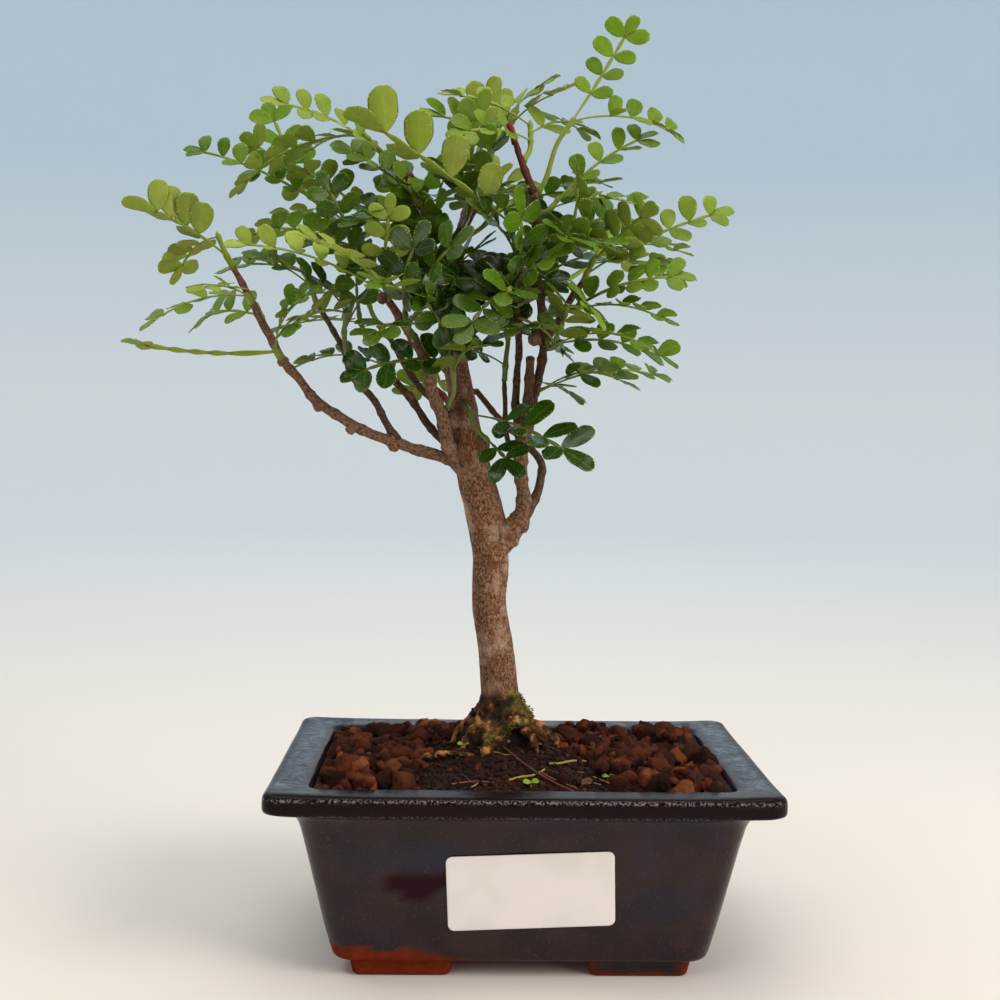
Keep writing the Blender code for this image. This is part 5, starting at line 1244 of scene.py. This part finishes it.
def leafletShape(base, axis, flat, length, width, ageAndShade, fold, droop, rng, rows=7, blunt=0.75):
    # obovate blades cut to the rib, all at once: along x = length * h ** blunt and across
    # y = width / 2 * sin t * v with h = (1 - cos t) / 2, folded up by fold * |y|, drooping by
    # droop * x^2 / length, and a lens of even thickness between upper and under side
    count = len(base)
    t = np.pi * np.arange(1, rows + 1) / (rows + 1)
    h = ((1 - np.cos(t)) / 2)[:, None]
    v = np.array([-1, -0.85, 0, 0.85, 1, 0.85, 0, -0.85])
    side = np.array([0, 1, 1, 1, 0, -1, -1, -1])
    axis = unit(axis)
    flat = unit(flat - axis * (flat * axis).sum(-1, keepdims=True))
    across = np.cross(axis, flat)
    length3, width3, fold3, droop3 = (np.asarray(k, dtype=float)[:, None, None]
                                      for k in (length, width, fold, droop))
    scallop = 1 + (0.03 * np.cos(26 * t) if rows > 9 else 0 * t)[:, None]
    x = length3 * h ** blunt * (1 - 0.05 * (1 - np.abs(v)) * smoothstep(0.8, 1.0, h))
    y = width3 / 2 * np.sin(t)[:, None] * v * scallop
    wave = 0.03 * width3 * np.sin(9 * h + rng.uniform(0, 6, (count, 1, 1))) * v ** 2
    lens = leafSettings["thickness"] / 2 * np.sqrt(np.sin(t))[:, None] * np.where(v == 0, 0.8, 1)
    z = fold3 * np.abs(y) - droop3 * x ** 2 / length3 + wave + lens * side
    rings = (base[:, None, None] + x[..., None] * axis[:, None, None]
             + y[..., None] * across[:, None, None] + z[..., None] * flat[:, None, None])
    tip = (base + axis * np.asarray(length)[:, None] * 0.985
           - flat * (np.asarray(droop) * np.asarray(length))[:, None])
    poles = np.stack([base, tip], 1)
    place = together(np.zeros((count, 1, 1)) + h ** blunt, v, side)
    look = together(np.asarray(ageAndShade)[:, None, None], rng.uniform(0, 1, (count, 1, 1)), 0)
    return skin(rings, poles, leafPlace=place, leafLook=look)


def rachisShape(start, tip, face, bow, shares, last, wing, ageAndShade, bare):
    # the frond's own stalk, narrowly winged between joints: half width = stalk + wing *
    # sin(pi * phase ** 1.7), where phase runs from 0 to 1 from each joint to the next
    pairs = len(shares)
    stations = np.linspace(0, last + 0.02, 8 * pairs + 10)
    place, direction, side, normal = frondFrame(start, tip, face, bow, stations)
    phase = np.interp(stations, [0, *shares], [0, *range(1, pairs + 1)]) % 1
    winged = smoothstep(0.5 * shares[0], shares[0], stations)
    half = leafSettings["stalkHalf"] + wing * winged * np.sin(np.pi * phase ** 1.7)
    near = np.minimum(phase, 1 - phase)
    swell = 1 + 0.3 * np.exp(-(near / 0.08) ** 2) * winged
    if bare:
        swell = 0.55 + 0.45 * np.sin(np.pi * phase ** 1.7)
    thick = leafSettings["bareThick" if bare else "stalkThick"]
    angle = 2 * np.pi * np.arange(8) / 8
    rings = (place[:, None] + side[:, None] * (half[:, None] * np.cos(angle))[..., None]
             + normal[:, None] * (thick * swell[:, None] * np.sin(angle))[..., None])
    joint = np.exp(-(near / 0.04) ** 2) * winged
    look = together(ageAndShade, joint[:, None], 1)
    where = together(stations[:, None], np.cos(angle), np.sin(angle))
    ends = [place[0], place[-1] + direction[-1] * 0.2]
    return skin(rings, ends, leafPlace=where, leafLook=look)


def frondShapes(form, ageAndShade, bare, habit, rng):
    # one compound leaf: its rachis with pairs of leaflets and one at its tip; a bare one has
    # its last leaflets only
    start, tip, face, bow, _, length, rise, first, added = form
    if added:
        near = math.exp(-((tip[0] + 10) / 35) ** 2)
        length = length * (leafSettings["addedLength"] + leafSettings["addedMiddle"] * near)
        first = leafSettings["addedFirst"]
    reach = np.linalg.norm(tip - start)
    last = 1 - length / reach
    first = shootSettings["firstPair"] if bare else min(first, last * 0.9)
    fine = length < 8
    larger, spacing, broad = habit or (1.0, leafSettings["fineSpacing" if fine else "spacing"],
                                       leafSettings["fineBroad" if fine else "broad"])
    if added:
        spacing = leafSettings["addedSpacing"]
    pairs = max(1, round((last - first) * reach / (spacing * length)) + 1)
    shares = np.linspace(first, last, pairs)
    length = length * larger
    wing = leafSettings["wing"] * length ** 2 * (leafSettings["bareWing"] if bare else 1)
    shapes = [rachisShape(start, tip, face, bow, shares, last, wing, ageAndShade, bare)]
    grow = 0.86 + 0.14 * np.sin(np.pi * np.arange(1, pairs + 1) / (pairs + 1))
    if bare:
        shares, grow, pairs = shares[-1:], grow[-1:], 1
    at, direction, side, normal = frondFrame(start, tip, face, bow, shares)
    rows = 15 if length > 11 else 7
    for way in (-1, 1):
        lift = np.radians(rise + rng.normal(0, 9, pairs))[:, None]
        lean = np.radians(shootSettings["angle"] + rng.normal(0, 7, pairs))[:, None]
        out = side * way * np.cos(lift) + normal * np.sin(lift)
        axis = unit(direction * np.cos(lean) + out * np.sin(lean))
        flat = normal * np.cos(lift) - side * way * np.sin(lift) + side * rng.normal(0, 0.16, (pairs, 1))
        size = length * grow * rng.uniform(0.9, 1.05, pairs)
        shapes.append(leafletShape(
            at + side * way * leafSettings["stalkHalf"] * 0.6, axis, flat, size,
            size * broad * rng.uniform(0.92, 1.08, pairs),
            np.clip(ageAndShade + rng.normal(0, 0.06, pairs), 0, 1), rng.uniform(0.03, 0.28, pairs),
            rng.uniform(-0.02, 0.16, pairs), rng, rows))
    at, direction, side, normal = frondFrame(start, tip, face, bow, [last])
    shapes.append(leafletShape(at, direction, normal + side * rng.normal(0, 0.15), [length],
                               [length * leafSettings["tipBroad"]], [ageAndShade], [rng.uniform(0.05, 0.25)],
                               [rng.uniform(-0.02, 0.12)], rng, rows, 0.62))
    return shapes


def frondAgeAndShade(number, form, rng):
    # old and dark near the crown's middle, where the darkness is also painted shade, new far out and above,
    # or as the settings say
    draw = rng.uniform(-0.16, 0.16)
    known = leafSettings["ages"].get(number)
    if known is not None:
        return float(np.clip(known + 0.3 * draw, 0, 1))
    middle = (form[0] + form[1]) / 2
    away = np.linalg.norm((middle - leafSettings["middle"]) * (0.8, 1, 1))
    return float(np.clip(1.0 - smoothstep(18, 78, away) * 0.8
                         - 0.22 * smoothstep(225, 270, middle[2]) + draw, 0.22, 1))


def makeShoot(number, points, fronds):
    # a green shoot, thinner outwards and swollen at each leaf, with its fronds and end bud
    rng = np.random.default_rng(200 + number)
    route = evenRoute(smoothRoute(points, 8), 0.5)
    root = points[0, :3] - unit(points[1, :3] - points[0, :3]) * 1.6
    route = np.vstack([(*root, 1.12), route])
    starts = np.array([form[0] for form in fronds])
    near = np.linalg.norm(route[:, None, :3] - starts, axis=2).min(1)
    route[:, 3] *= 0.92 + 0.3 * np.exp(-(near / 0.9) ** 2)
    route[:, 3] *= 1 + 0.06 * roughness3d(route[:, :3], 1.5, 50)
    rings, _ = tubeRings(route, 10)
    last = unit(route[-1, :3] - route[-3, :3])
    cap = rings[-1] + (route[-1, :3] - rings[-1]) * 0.45 + last * 0.8
    rings = np.concatenate([rings, cap[None]])
    ages = [frondAgeAndShade(number, form, rng) for form in fronds]
    look = np.broadcast_to((min(0.95, 0.25 + np.mean(ages)), 0.0, 1.0), rings.shape)
    where = np.broadcast_to((0.5, 0.0, 1.0), rings.shape)
    shapes = [skin(rings, [route[0, :3], route[-1, :3] + last * 1.5], leafPlace=where, leafLook=look)]
    for index, (form, ageAndShade) in enumerate(zip(fronds, ages)):
        bare = number == leafSettings["bareFrond"] and index == 0
        shapes += frondShapes(form, ageAndShade, bare, leafSettings["habits"].get(number), rng)
    shoot = makePiece("leafy_shoot_%02d" % number, shapes, leafMaterial)
    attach(shoot, "root")
    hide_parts("spray_%02d" % number)


def makeLeaf():
    # Leathery leaf, grown with a waxy cuticle above: glossy and dark when old, soft and
    # yellow-green when new. The under side is paler, olive and nearly matt, the rim is dark with
    # pale glands at its teeth, and light comes through the thin blade.
    material, add, finish, place, (_, across, upward), (ageAndShade, lightness, stalkZone) = newMaterial(
        "waxyPepperLeaf", "leafPlace", "leafLook")
    width = add("Math", {"operation": "ABSOLUTE"}, {0: across})
    # oil glands lie 0.7 mm apart in the blade and show palest at the rim
    glands = add("TexVoronoi", {"Scale": 1400.0}, {"Vector": place})
    newer, older, up, rib, edge, dots, rim, wax, gleam = (
        add("MapRange", {"From Min": low, "From Max": high, "To Min": least, "To Max": most},
            {"Value": source})
        for source, low, high, least, most in (
            (ageAndShade, 0, 0.5, 0, 1), (ageAndShade, 0.5, 1, 0, 1), (upward, -0.15, 0.15, 0, 1),
            (width, 0.06, 0, 0, 0.25), (width, 0.86, 1, 0, 0.7), (glands, 0.36, 0.18, 0, 0.85),
            (width, 0.7, 0.95, 0.12, 1), (ageAndShade, 0, 1, 0.42, 0.2), (ageAndShade, 0.6, 0.95, 0.1, 0.5)))
    dots = add("Math", {"operation": "MULTIPLY"}, {0: dots, 1: rim})
    sides = []
    # older fronds are darker, and near the crown's middle this darkness is also painted shade
    for side in ("upper", "under"):
        mixed = add("Mix", {"data_type": "RGBA", 6: leafSettings[side + "New"],
                            7: leafSettings[side + "Mid"]}, {0: newer})
        sides.append(add("Mix", {"data_type": "RGBA", 7: leafSettings[side + "Old"]},
                         {0: older, 6: mixed}))
    color = add("Mix", {"data_type": "RGBA"}, {0: up, 6: sides[1], 7: sides[0]})
    # each leaflet a little lighter or darker, and cloudy over about 3 mm
    cloud = add("TexNoise", {"Scale": 350, "Detail": 3.0}, {"Vector": place})
    shade = add("Math", {"operation": "MULTIPLY_ADD", 1: 0.3, 2: 0.62}, {0: lightness})
    shade = add("Math", {"operation": "MULTIPLY_ADD", 1: 0.45}, {0: cloud, 2: shade})
    color = add("Mix", {"data_type": "RGBA", "blend_type": "MULTIPLY", 0: 1.0}, {6: color, 7: shade})
    for share, name in ((rib, "rib"), (edge, "edge"), (dots, "gland")):
        color = add("Mix", {"data_type": "RGBA", 7: leafSettings[name]}, {0: share, 6: color})
    stalk = add("Mix", {"data_type": "RGBA", 6: leafSettings["stalk"],
                        7: leafSettings["stalkOld"]}, {0: older})
    stalk = add("Mix", {"data_type": "RGBA", 7: leafSettings["joint"]}, {0: lightness, 6: stalk})
    color = add("Mix", {"data_type": "RGBA"}, {0: stalkZone, 6: color, 7: stalk})
    wax = add("Mix", {"data_type": "FLOAT", 2: 0.62}, {0: up, 3: wax})
    gleam = add("Mix", {"data_type": "FLOAT", 2: 0.1}, {0: up, 3: gleam})
    bump = add("Bump", {"Strength": 0.3, "Distance": 0.0002}, {"Height": cloud})
    bump = add("Bump", {"Strength": 0.2, "Distance": 0.0001}, {"Height": dots, "Normal": bump})
    finish({"Subsurface Weight": 0.35, "Subsurface Radius": (0.5, 1, 0.15),
            "Subsurface Scale": 0.001},
           {"Base Color": color, "Roughness": wax, "Specular IOR Level": gleam, "Normal": bump})
    return material


leafMaterial = makeLeaf()
for number, (points, fronds) in enumerate(zip(shootRoutes, shootFronds), 1):
    makeShoot(number, points, fronds)
print("leafy shoots made:", len(shoots))

# The soil, its clay granules, crumbs, straws and seedlings

soilSettings = {
    "edgeHeight": 58.3, "mound": 8.0, "bumps": 0.9,
    "sunk": 1.6,  # how far the humus lies lower where granules cover it
    "wallHalf": (64.0, 43.0), "edgeHalf": (63.4, 42.4),  # half sizes: pot's mouth, soil's edge
    # granules dropped, half of the tries of each size, with its least and greatest radius
    "granuleSizes": ((100, 2.7, 4.1), (240, 1.8, 2.8), (380, 0.9, 1.8)),
    # large lumps: (x, y, radius, how orange)
    "lumps": [(-54, -24, 4.8, 0.25), (-48.5, -35, 4.6, 1.0), (-37.5, -34, 4.9, 0.3), (-41.5, -10, 4.9, 0.2),
              (-56, 20, 3.2, 0.6), (-33, 19, 3.6, 0.2), (15.5, 27, 4.9, 0.3), (43, -21, 3.9, 0.2),
              (34, -10, 3.8, 0.2), (57, 10, 3.6, 0.2), (52, -29, 3.6, 0.1), (-24, 26, 3.8, 0.2)],
    "highest": 64.6,
    "crumbs": 4200, "randomStraws": 46, "mossBlades": 5200,
    "humusWet": "#120905", "humus": "#1c0a05", "humusPale": "#471f0f", "crumbPale": "#6a3f28",
    "clayDark": "#2c1209", "clayPale": "#7d3f27", "clayOrange": "#a55c32", "clayWet": "#2c120a",
    "clayGrit": "#a8663f", "mossBlade": "#454416", "mossTip": "#847d36", "strawBand": "#3d2717",
    "strawColors": ("#8d7446", "#6b4a2c", "#a58a5c", "#4c3222"),
    # thin things that lie on the soil, each (points on the ground, lift, radius, colour)
    "straws": [
        ([(-6, -9), (-1, -18), (4, -25), (10, -33), (15, -38.5)], 0.9, 0.36, "#6a3822"),
        ([(5, -24), (10, -30), (16, -35)], 0.7, 0.25, "#8a5a38"),
        ([(8.6, -18.7), (12, -17.5), (15.5, -14.6), (19, -10), (22, -4.9)], 0.7, 0.38, "#a59144"),
        ([(-4.4, -30.5), (-1, -28.5), (3.5, -26.3), (7, -23)], 0.6, 0.36, "#a08b3c"),
        ([(48, -33), (50, -36.5), (51.5, -40)], 0.8, 0.4, "#c0a06c"),
        ([(28, -28), (33, -26), (38, -27), (43, -31)], 0.5, 0.25, "#a8854e"),
        ([(22, -24), (26, -28), (31, -31)], 0.5, 0.25, "#9a7440"),
        ([(17, -31), (19, -29.5), (21, -28.5)], 0.5, 1.1, "#5c2a1a"),
        ([(24, -14.5), (25, -13.4)], 0.5, 0.9, "#b5ad94"),
        ([(-60, -24), (-57, -27), (-52, -29)], 0.8, 0.3, "#8a5a3c"),
        ([(-22, -33), (-15, -31), (-9, -33)], 0.4, 0.3, "#7a4a2c")],
    "seedlings": [((2.1, -36.5), 2.5), ((26.6, -25.0), 2.0), ((48.5, 20), 1.5),
                  ((60.5, -8), 1.6), ((18, 36), 1.4), ((-18.4, -7), 2.0)],
}


def wallShare(x, y):
    # 0 at the pot's middle line, 1 at its inner wall
    halfX, halfY = soilSettings["wallHalf"]
    return np.maximum(np.abs(x) / halfX, np.abs(y) / halfY)


def soilHeight(x, y):
    # low mound: edge height + 1.2 (1 - wall^2) + the rest * exp(-5 across^2 - 3.2 along^2)
    halfX, halfY = soilSettings["wallHalf"]
    across, along = (x + 7) / halfX, y / halfY
    mound = np.exp(-5.0 * across ** 2 - 3.2 * along ** 2)
    return (soilSettings["edgeHeight"] + 1.2 * (1 - wallShare(x, y) ** 2)
            + (soilSettings["mound"] - 1.2) * mound)


def groundHeight(x, y):
    # the mound with slow and fast noise, sunk where granules lie, banked up at the wall
    points = together(x, y, 0)
    lumps = roughness3d(points, 7.0, 31, 3) + 0.55 * np.abs(roughness3d(points, 2.4, 32, 2))
    wall = smoothstep(0.9, 0.97, wallShare(x, y))
    sunk = soilSettings["sunk"] * (1 - bareShare(x, y)) * (1 - wall)
    return soilHeight(x, y) + soilSettings["bumps"] * lumps - 0.4 - sunk + 1.2 * wall


def makeSoil():
    # rounded rectangles from the pot's floor up its wall, then inwards over the mound
    share = 1 - 0.985 * np.linspace(0, 1, 62)
    halfX, halfY = soilSettings["edgeHalf"]
    side = np.array([(51.9, 30.4, 5.0, 10.3), (57.6, 36.3, 5.6, 34.0), (60.9, 39.8, 5.6, 50.0),
                     (halfX, halfY, 5.2, 58.4)])
    wall = roundedRings(*side.T, 9, 46)
    top = roundedRings(halfX * share, halfY * share, 5.2 * share, 0 * share, 9, 46)
    top[..., 2] = groundHeight(top[..., 0], top[..., 1])
    top[..., :2] += 0.3 * roughness3d(top * (1, 1, 0), 2.0, 33)[..., None] * share[:, None, None]
    top[0, :, 2] = np.minimum(top[0, :, 2], 59.4)
    rings = np.concatenate([wall, top])
    poles = [(0, 0, 10.3), (0, 0, float(groundHeight(np.zeros(1), np.zeros(1))[0]))]
    tone = 0.5 + 0.5 * roughness3d(rings, 6.0, 34, 2)
    shape = skin(rings, poles, grainLook=together(tone, 0, 0))
    soil = makePiece("humus_soil", [shape], makeHumus())
    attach(soil, "root")
    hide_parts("soil")


def bareShare(x, y):
    # 1 on the dark humus in front of the trunk and round its foot, 0 where granules lie
    left, right = -31 + 0.06 * y, 14 - 0.45 * y
    front = smoothstep(left - 4, left + 4, x) * smoothstep(right + 5, right - 5, x)
    front = front * smoothstep(12, 4, y)
    foot = smoothstep(19, 14, np.hypot(x + 7, y))
    return np.maximum(front, foot)


def scattered(rng, count, halfX=60.5, halfY=39.5):
    # random places on the soil inside the pot's wall
    return rng.uniform(-halfX, halfX, count), rng.uniform(-halfY, halfY, count)


def makeGranules():
    # clay lumps dropped on a height map, large ones first, so that each rests on what is there
    rng = np.random.default_rng(12)
    gridX, gridY = np.meshgrid(np.arange(-66, 66.1, 0.6), np.arange(-46, 46.1, 0.6))
    heights = groundHeight(gridX, gridY)
    drops = list(soilSettings["lumps"])
    for count, least, greatest in soilSettings["granuleSizes"]:
        for _ in range(2 * count):
            x, y = (float(v[0]) for v in scattered(rng, 1))
            size = rng.uniform(least, greatest)
            stray = 0.06 if size < 2.2 else 0.0
            if rng.uniform() >= float(bareShare(x, y)) - stray:
                drops.append((x, y, size, float(rng.uniform() > 0.9) * rng.uniform(0.3, 1)))
    halfX, halfY = soilSettings["wallHalf"]
    kept = []
    for x, y, size, orange in drops:
        if abs(x) > halfX - 0.8 * size or abs(y) > halfY - 0.8 * size:
            continue
        away = np.hypot(gridX - x, gridY - y)
        z = float(np.percentile(heights[away < size * 0.75], 60)) + size * 0.2
        if z + size * 0.75 > soilSettings["highest"] + 1.4 * (size > 4.5):
            continue
        dome = z + 0.7 * np.sqrt(np.maximum(size ** 2 - away ** 2, 0))
        heights = np.where(away < size * 0.9, np.maximum(heights, dome), heights)
        kept.append((x, y, z, size, orange))
    kept = np.array(kept)
    shapes = []
    big = kept[:, 3] > 2.6
    for group, rows, columns, seed in ((big, 14, 20, 41), (~big, 6, 8, 42)):
        rings, poles = lumpShapes(kept[group, :3], kept[group, 3] * 1.25, seed, rows, columns, 0.34, 8)
        tone = rng.uniform(0, 1, (group.sum(), 1, 1)) ** 1.3
        look = together(tone, kept[group, 4][:, None, None], 0)
        shapes.append(skin(rings, poles, grainLook=look))
    granules = makePiece("clay_granules", shapes, makeClay())
    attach(granules, "root")


def makeCrumbs():
    # humus crumbs, bits of bark and grit, densest on the dark humus
    rng = np.random.default_rng(13)
    x, y = scattered(rng, soilSettings["crumbs"] * 2, 61.5, 40.5)
    keep = rng.uniform(0, 1, len(x)) < 0.25 + 0.75 * bareShare(x, y)
    x, y = x[keep][:soilSettings["crumbs"]], y[keep][:soilSettings["crumbs"]]
    sizes = 0.22 + 0.75 * rng.uniform(0, 1, len(x)) ** 3
    middles = together(x, y, groundHeight(x, y) + 0.25 * sizes)
    rings, poles = lumpShapes(middles, sizes, 43, 3, 5, 0.6)
    tone = rng.uniform(0, 1, (len(x), 1, 1)) ** 5 * 2
    shape = skin(rings, poles, grainLook=together(tone, 0, 0))
    crumbs = makePiece("humus_crumbs", [shape], makeHumus())
    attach(crumbs, "root")


def makeStraws():
    # dry straws, root bits and a twig: thin tubes that follow the lie of the soil
    rng = np.random.default_rng(19)
    shapes = []
    straws = list(soilSettings["straws"])
    for _ in range(soilSettings["randomStraws"]):
        x, y = (float(v[0]) for v in scattered(rng, 1, 58, 37))
        if bareShare(x, y) < 0.4 and rng.uniform() < 0.6:
            continue
        turn, length = rng.uniform(0, 6.28), rng.uniform(3, 9)
        steps = np.linspace(-0.5, 0.5, 4)
        px, py = x + length * steps * math.cos(turn), y + length * steps * math.sin(turn)
        py = py + rng.uniform(-0.8, 0.8, 4)
        color = soilSettings["strawColors"][int(rng.integers(4))]
        straws.append((list(zip(px, py)), rng.uniform(0.1, 0.6), rng.uniform(0.12, 0.26), color))
    for points, lift, radius, color in straws:
        x, y = np.array(points, dtype=float).T
        route = together(x, y, groundHeight(x, y) + lift, radius)
        route = evenRoute(smoothRoute(route, 6), 0.7)
        rings, out = tubeRings(route, 7)
        rings = rings + out * (0.25 * radius * roughness3d(rings, 0.9, 35))[..., None]
        paint = np.broadcast_to(hexColor(color)[:3], rings.shape)
        shapes.append(skin(rings, [route[0, :3], route[-1, :3]], strawColor=paint))
    straw = makePiece("straws_and_twig", shapes, makeStraw())
    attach(straw, "root")


def makeSeedlings():
    # each a pair of round seed leaves on a short stalk
    rng = np.random.default_rng(15)
    shapes = []
    for (x, y), size in soilSettings["seedlings"]:
        z = float(groundHeight(np.array(x), np.array(y)))
        top = np.array((x, y, z + size * 0.9))
        route = np.array([(x + 0.3, y, z - 1.0, 0.25), (x, y, z, 0.25), (*top, 0.22)])
        rings, _ = tubeRings(evenRoute(route, 0.4), 6)
        look = np.broadcast_to((0.25, 0.5, 1.0), rings.shape)
        shapes.append(skin(rings, [route[0, :3], route[-1, :3]], leafPlace=0 * rings, leafLook=look))
        turn = rng.uniform(-0.5, 0.5)
        way = np.array([(math.cos(turn), math.sin(turn), 0.25), (-math.cos(turn), -math.sin(turn), 0.2)])
        flat = np.array([(0.0, -0.5, 0.85)] * 2)
        shapes.append(leafletShape(top + 0 * way, way, flat, np.full(2, size), np.full(2, size * 0.9),
                                   np.full(2, 0.1), np.full(2, 0.15), np.full(2, 0.15), rng))
    seedlings = makePiece("seedlings", shapes, leafMaterial)
    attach(seedlings, "root")


def makeMoss():
    # short pointed blades, each a narrow four-sided spike, on the root flare
    rng = np.random.default_rng(16)
    count = soilSettings["mossBlades"]
    angle = rng.uniform(-2.6, 0.7, count)
    z = 64.6 + 16.5 * rng.uniform(0, 1, count)
    reach = flareRadius(angle, z) + rng.uniform(-0.4, 0.7, count)
    foot = together(woodSettings["flareX"] + reach * np.cos(angle), reach * np.sin(angle), z)
    patch = mossShare(angle, z, foot) > rng.uniform(0.3, 1.1, count)
    foot, angle = foot[patch], angle[patch]
    out = together(np.cos(angle), np.sin(angle), 0.5)
    way = unit(out + rng.normal(0, 0.45, out.shape))
    height, width = rng.uniform(0.35, 0.9, (len(foot), 1)), 0.13
    side = unit(np.cross(way, (0.2, 0.3, 0.9)))
    other = np.cross(way, side)
    ring = np.stack([foot + side * width, foot + other * width, foot - side * width,
                     foot - other * width], 1)[:, None]
    ring = np.concatenate([ring, ring + (way * height * 0.5)[:, None, None]], 1)
    poles = np.stack([foot - way * 0.2, foot + way * height], 1)
    shape = skin(ring, poles, grainLook=together(rng.uniform(0, 1, (len(foot), 1, 1)), 0, 0))
    moss = makePiece("moss", [shape], makeMossGreen())
    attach(moss, "root")


def makeHumus():
    # Moist leaf humus: nearly black, crumbly, with paler fibres; grains 0.5 to 2 mm
    material, add, finish, place, (tone, _, _) = newMaterial("moistHumus", "grainLook")
    crumb = add("TexNoise", {"Scale": 800, "Detail": 6, "Roughness": 0.7}, {"Vector": place})
    clod = add("TexNoise", {"Scale": 220, "Detail": 4.0}, {"Vector": place})
    pale = add("MapRange", {"From Min": 0.54, "From Max": 0.74, "To Max": 0.8}, {"Value": crumb})
    share = add("Math", {"operation": "MULTIPLY", 1: 0.3}, {0: tone})
    color = add("Mix", {"data_type": "RGBA", 6: soilSettings["humusWet"],
                        7: soilSettings["humus"]}, {0: clod})
    for part, name in ((pale, "humusPale"), (share, "crumbPale")):
        color = add("Mix", {"data_type": "RGBA", 7: soilSettings[name]}, {0: part, 6: color})
    bump = add("Bump", {"Strength": 0.9, "Distance": 0.0006}, {"Height": crumb})
    finish({"Roughness": 0.8, "Specular IOR Level": 0.2}, {"Base Color": color, "Normal": bump})
    return material


def makeClay():
    # Crushed fired clay for bonsai soil: porous and dusty, red-brown to orange, damp in its
    # dents, with pores 1 mm and damp patches 4 mm across
    material, add, finish, place, (tone, orange, _) = newMaterial("crushedRedClay", "grainLook")
    pores = add("TexNoise", {"Scale": 900, "Detail": 6, "Roughness": 0.72}, {"Vector": place})
    damp = add("TexNoise", {"Scale": 260, "Detail": 4.0}, {"Vector": place})
    wet = add("MapRange", {"From Min": 0.42, "From Max": 0.66, "To Max": 0.5}, {"Value": damp})
    grit = add("MapRange", {"From Min": 0.6, "From Max": 0.75, "To Max": 0.5}, {"Value": pores})
    color = add("Mix", {"data_type": "RGBA", 6: soilSettings["clayDark"],
                        7: soilSettings["clayPale"]}, {0: tone})
    for share, name in ((orange, "clayOrange"), (wet, "clayWet"), (grit, "clayGrit")):
        color = add("Mix", {"data_type": "RGBA", 7: soilSettings[name]}, {0: share, 6: color})
    bump = add("Bump", {"Strength": 1, "Distance": 0.002}, {"Height": pores})
    finish({"Roughness": 0.95, "Specular IOR Level": 0.2}, {"Base Color": color, "Normal": bump})
    return material


def makeStraw():
    # Dry straw and fine roots: dull, with darker bands 2 mm long
    material, add, finish, place = newMaterial("dryStraw")
    paint = add("Attribute", {"attribute_name": "strawColor"}).outputs["Color"]
    band = add("TexNoise", {"Scale": 500, "Detail": 4.0}, {"Vector": place})
    share = add("MapRange", {"From Min": 0.4, "From Max": 0.75, "To Max": 0.6}, {"Value": band})
    color = add("Mix", {"data_type": "RGBA", 7: soilSettings["strawBand"]}, {0: share, 6: paint})
    bump = add("Bump", {"Strength": 0.5, "Distance": 0.0002}, {"Height": band})
    finish({"Roughness": 0.7}, {"Base Color": color, "Normal": bump})
    return material


def makeMossGreen():
    # Cushion moss: soft, matt, olive, with yellow-green blades among it
    material, add, finish, _, (tone, _, _) = newMaterial("cushionMoss", "grainLook")
    color = add("Mix", {"data_type": "RGBA", 6: soilSettings["mossBlade"],
                        7: soilSettings["mossTip"]}, {0: tone})
    finish({"Roughness": 0.9, "Specular IOR Level": 0.2}, {"Base Color": color})
    return material


makeSoil()
makeGranules()
makeCrumbs()
makeStraws()
makeSeedlings()
makeMoss()
print("soil made")
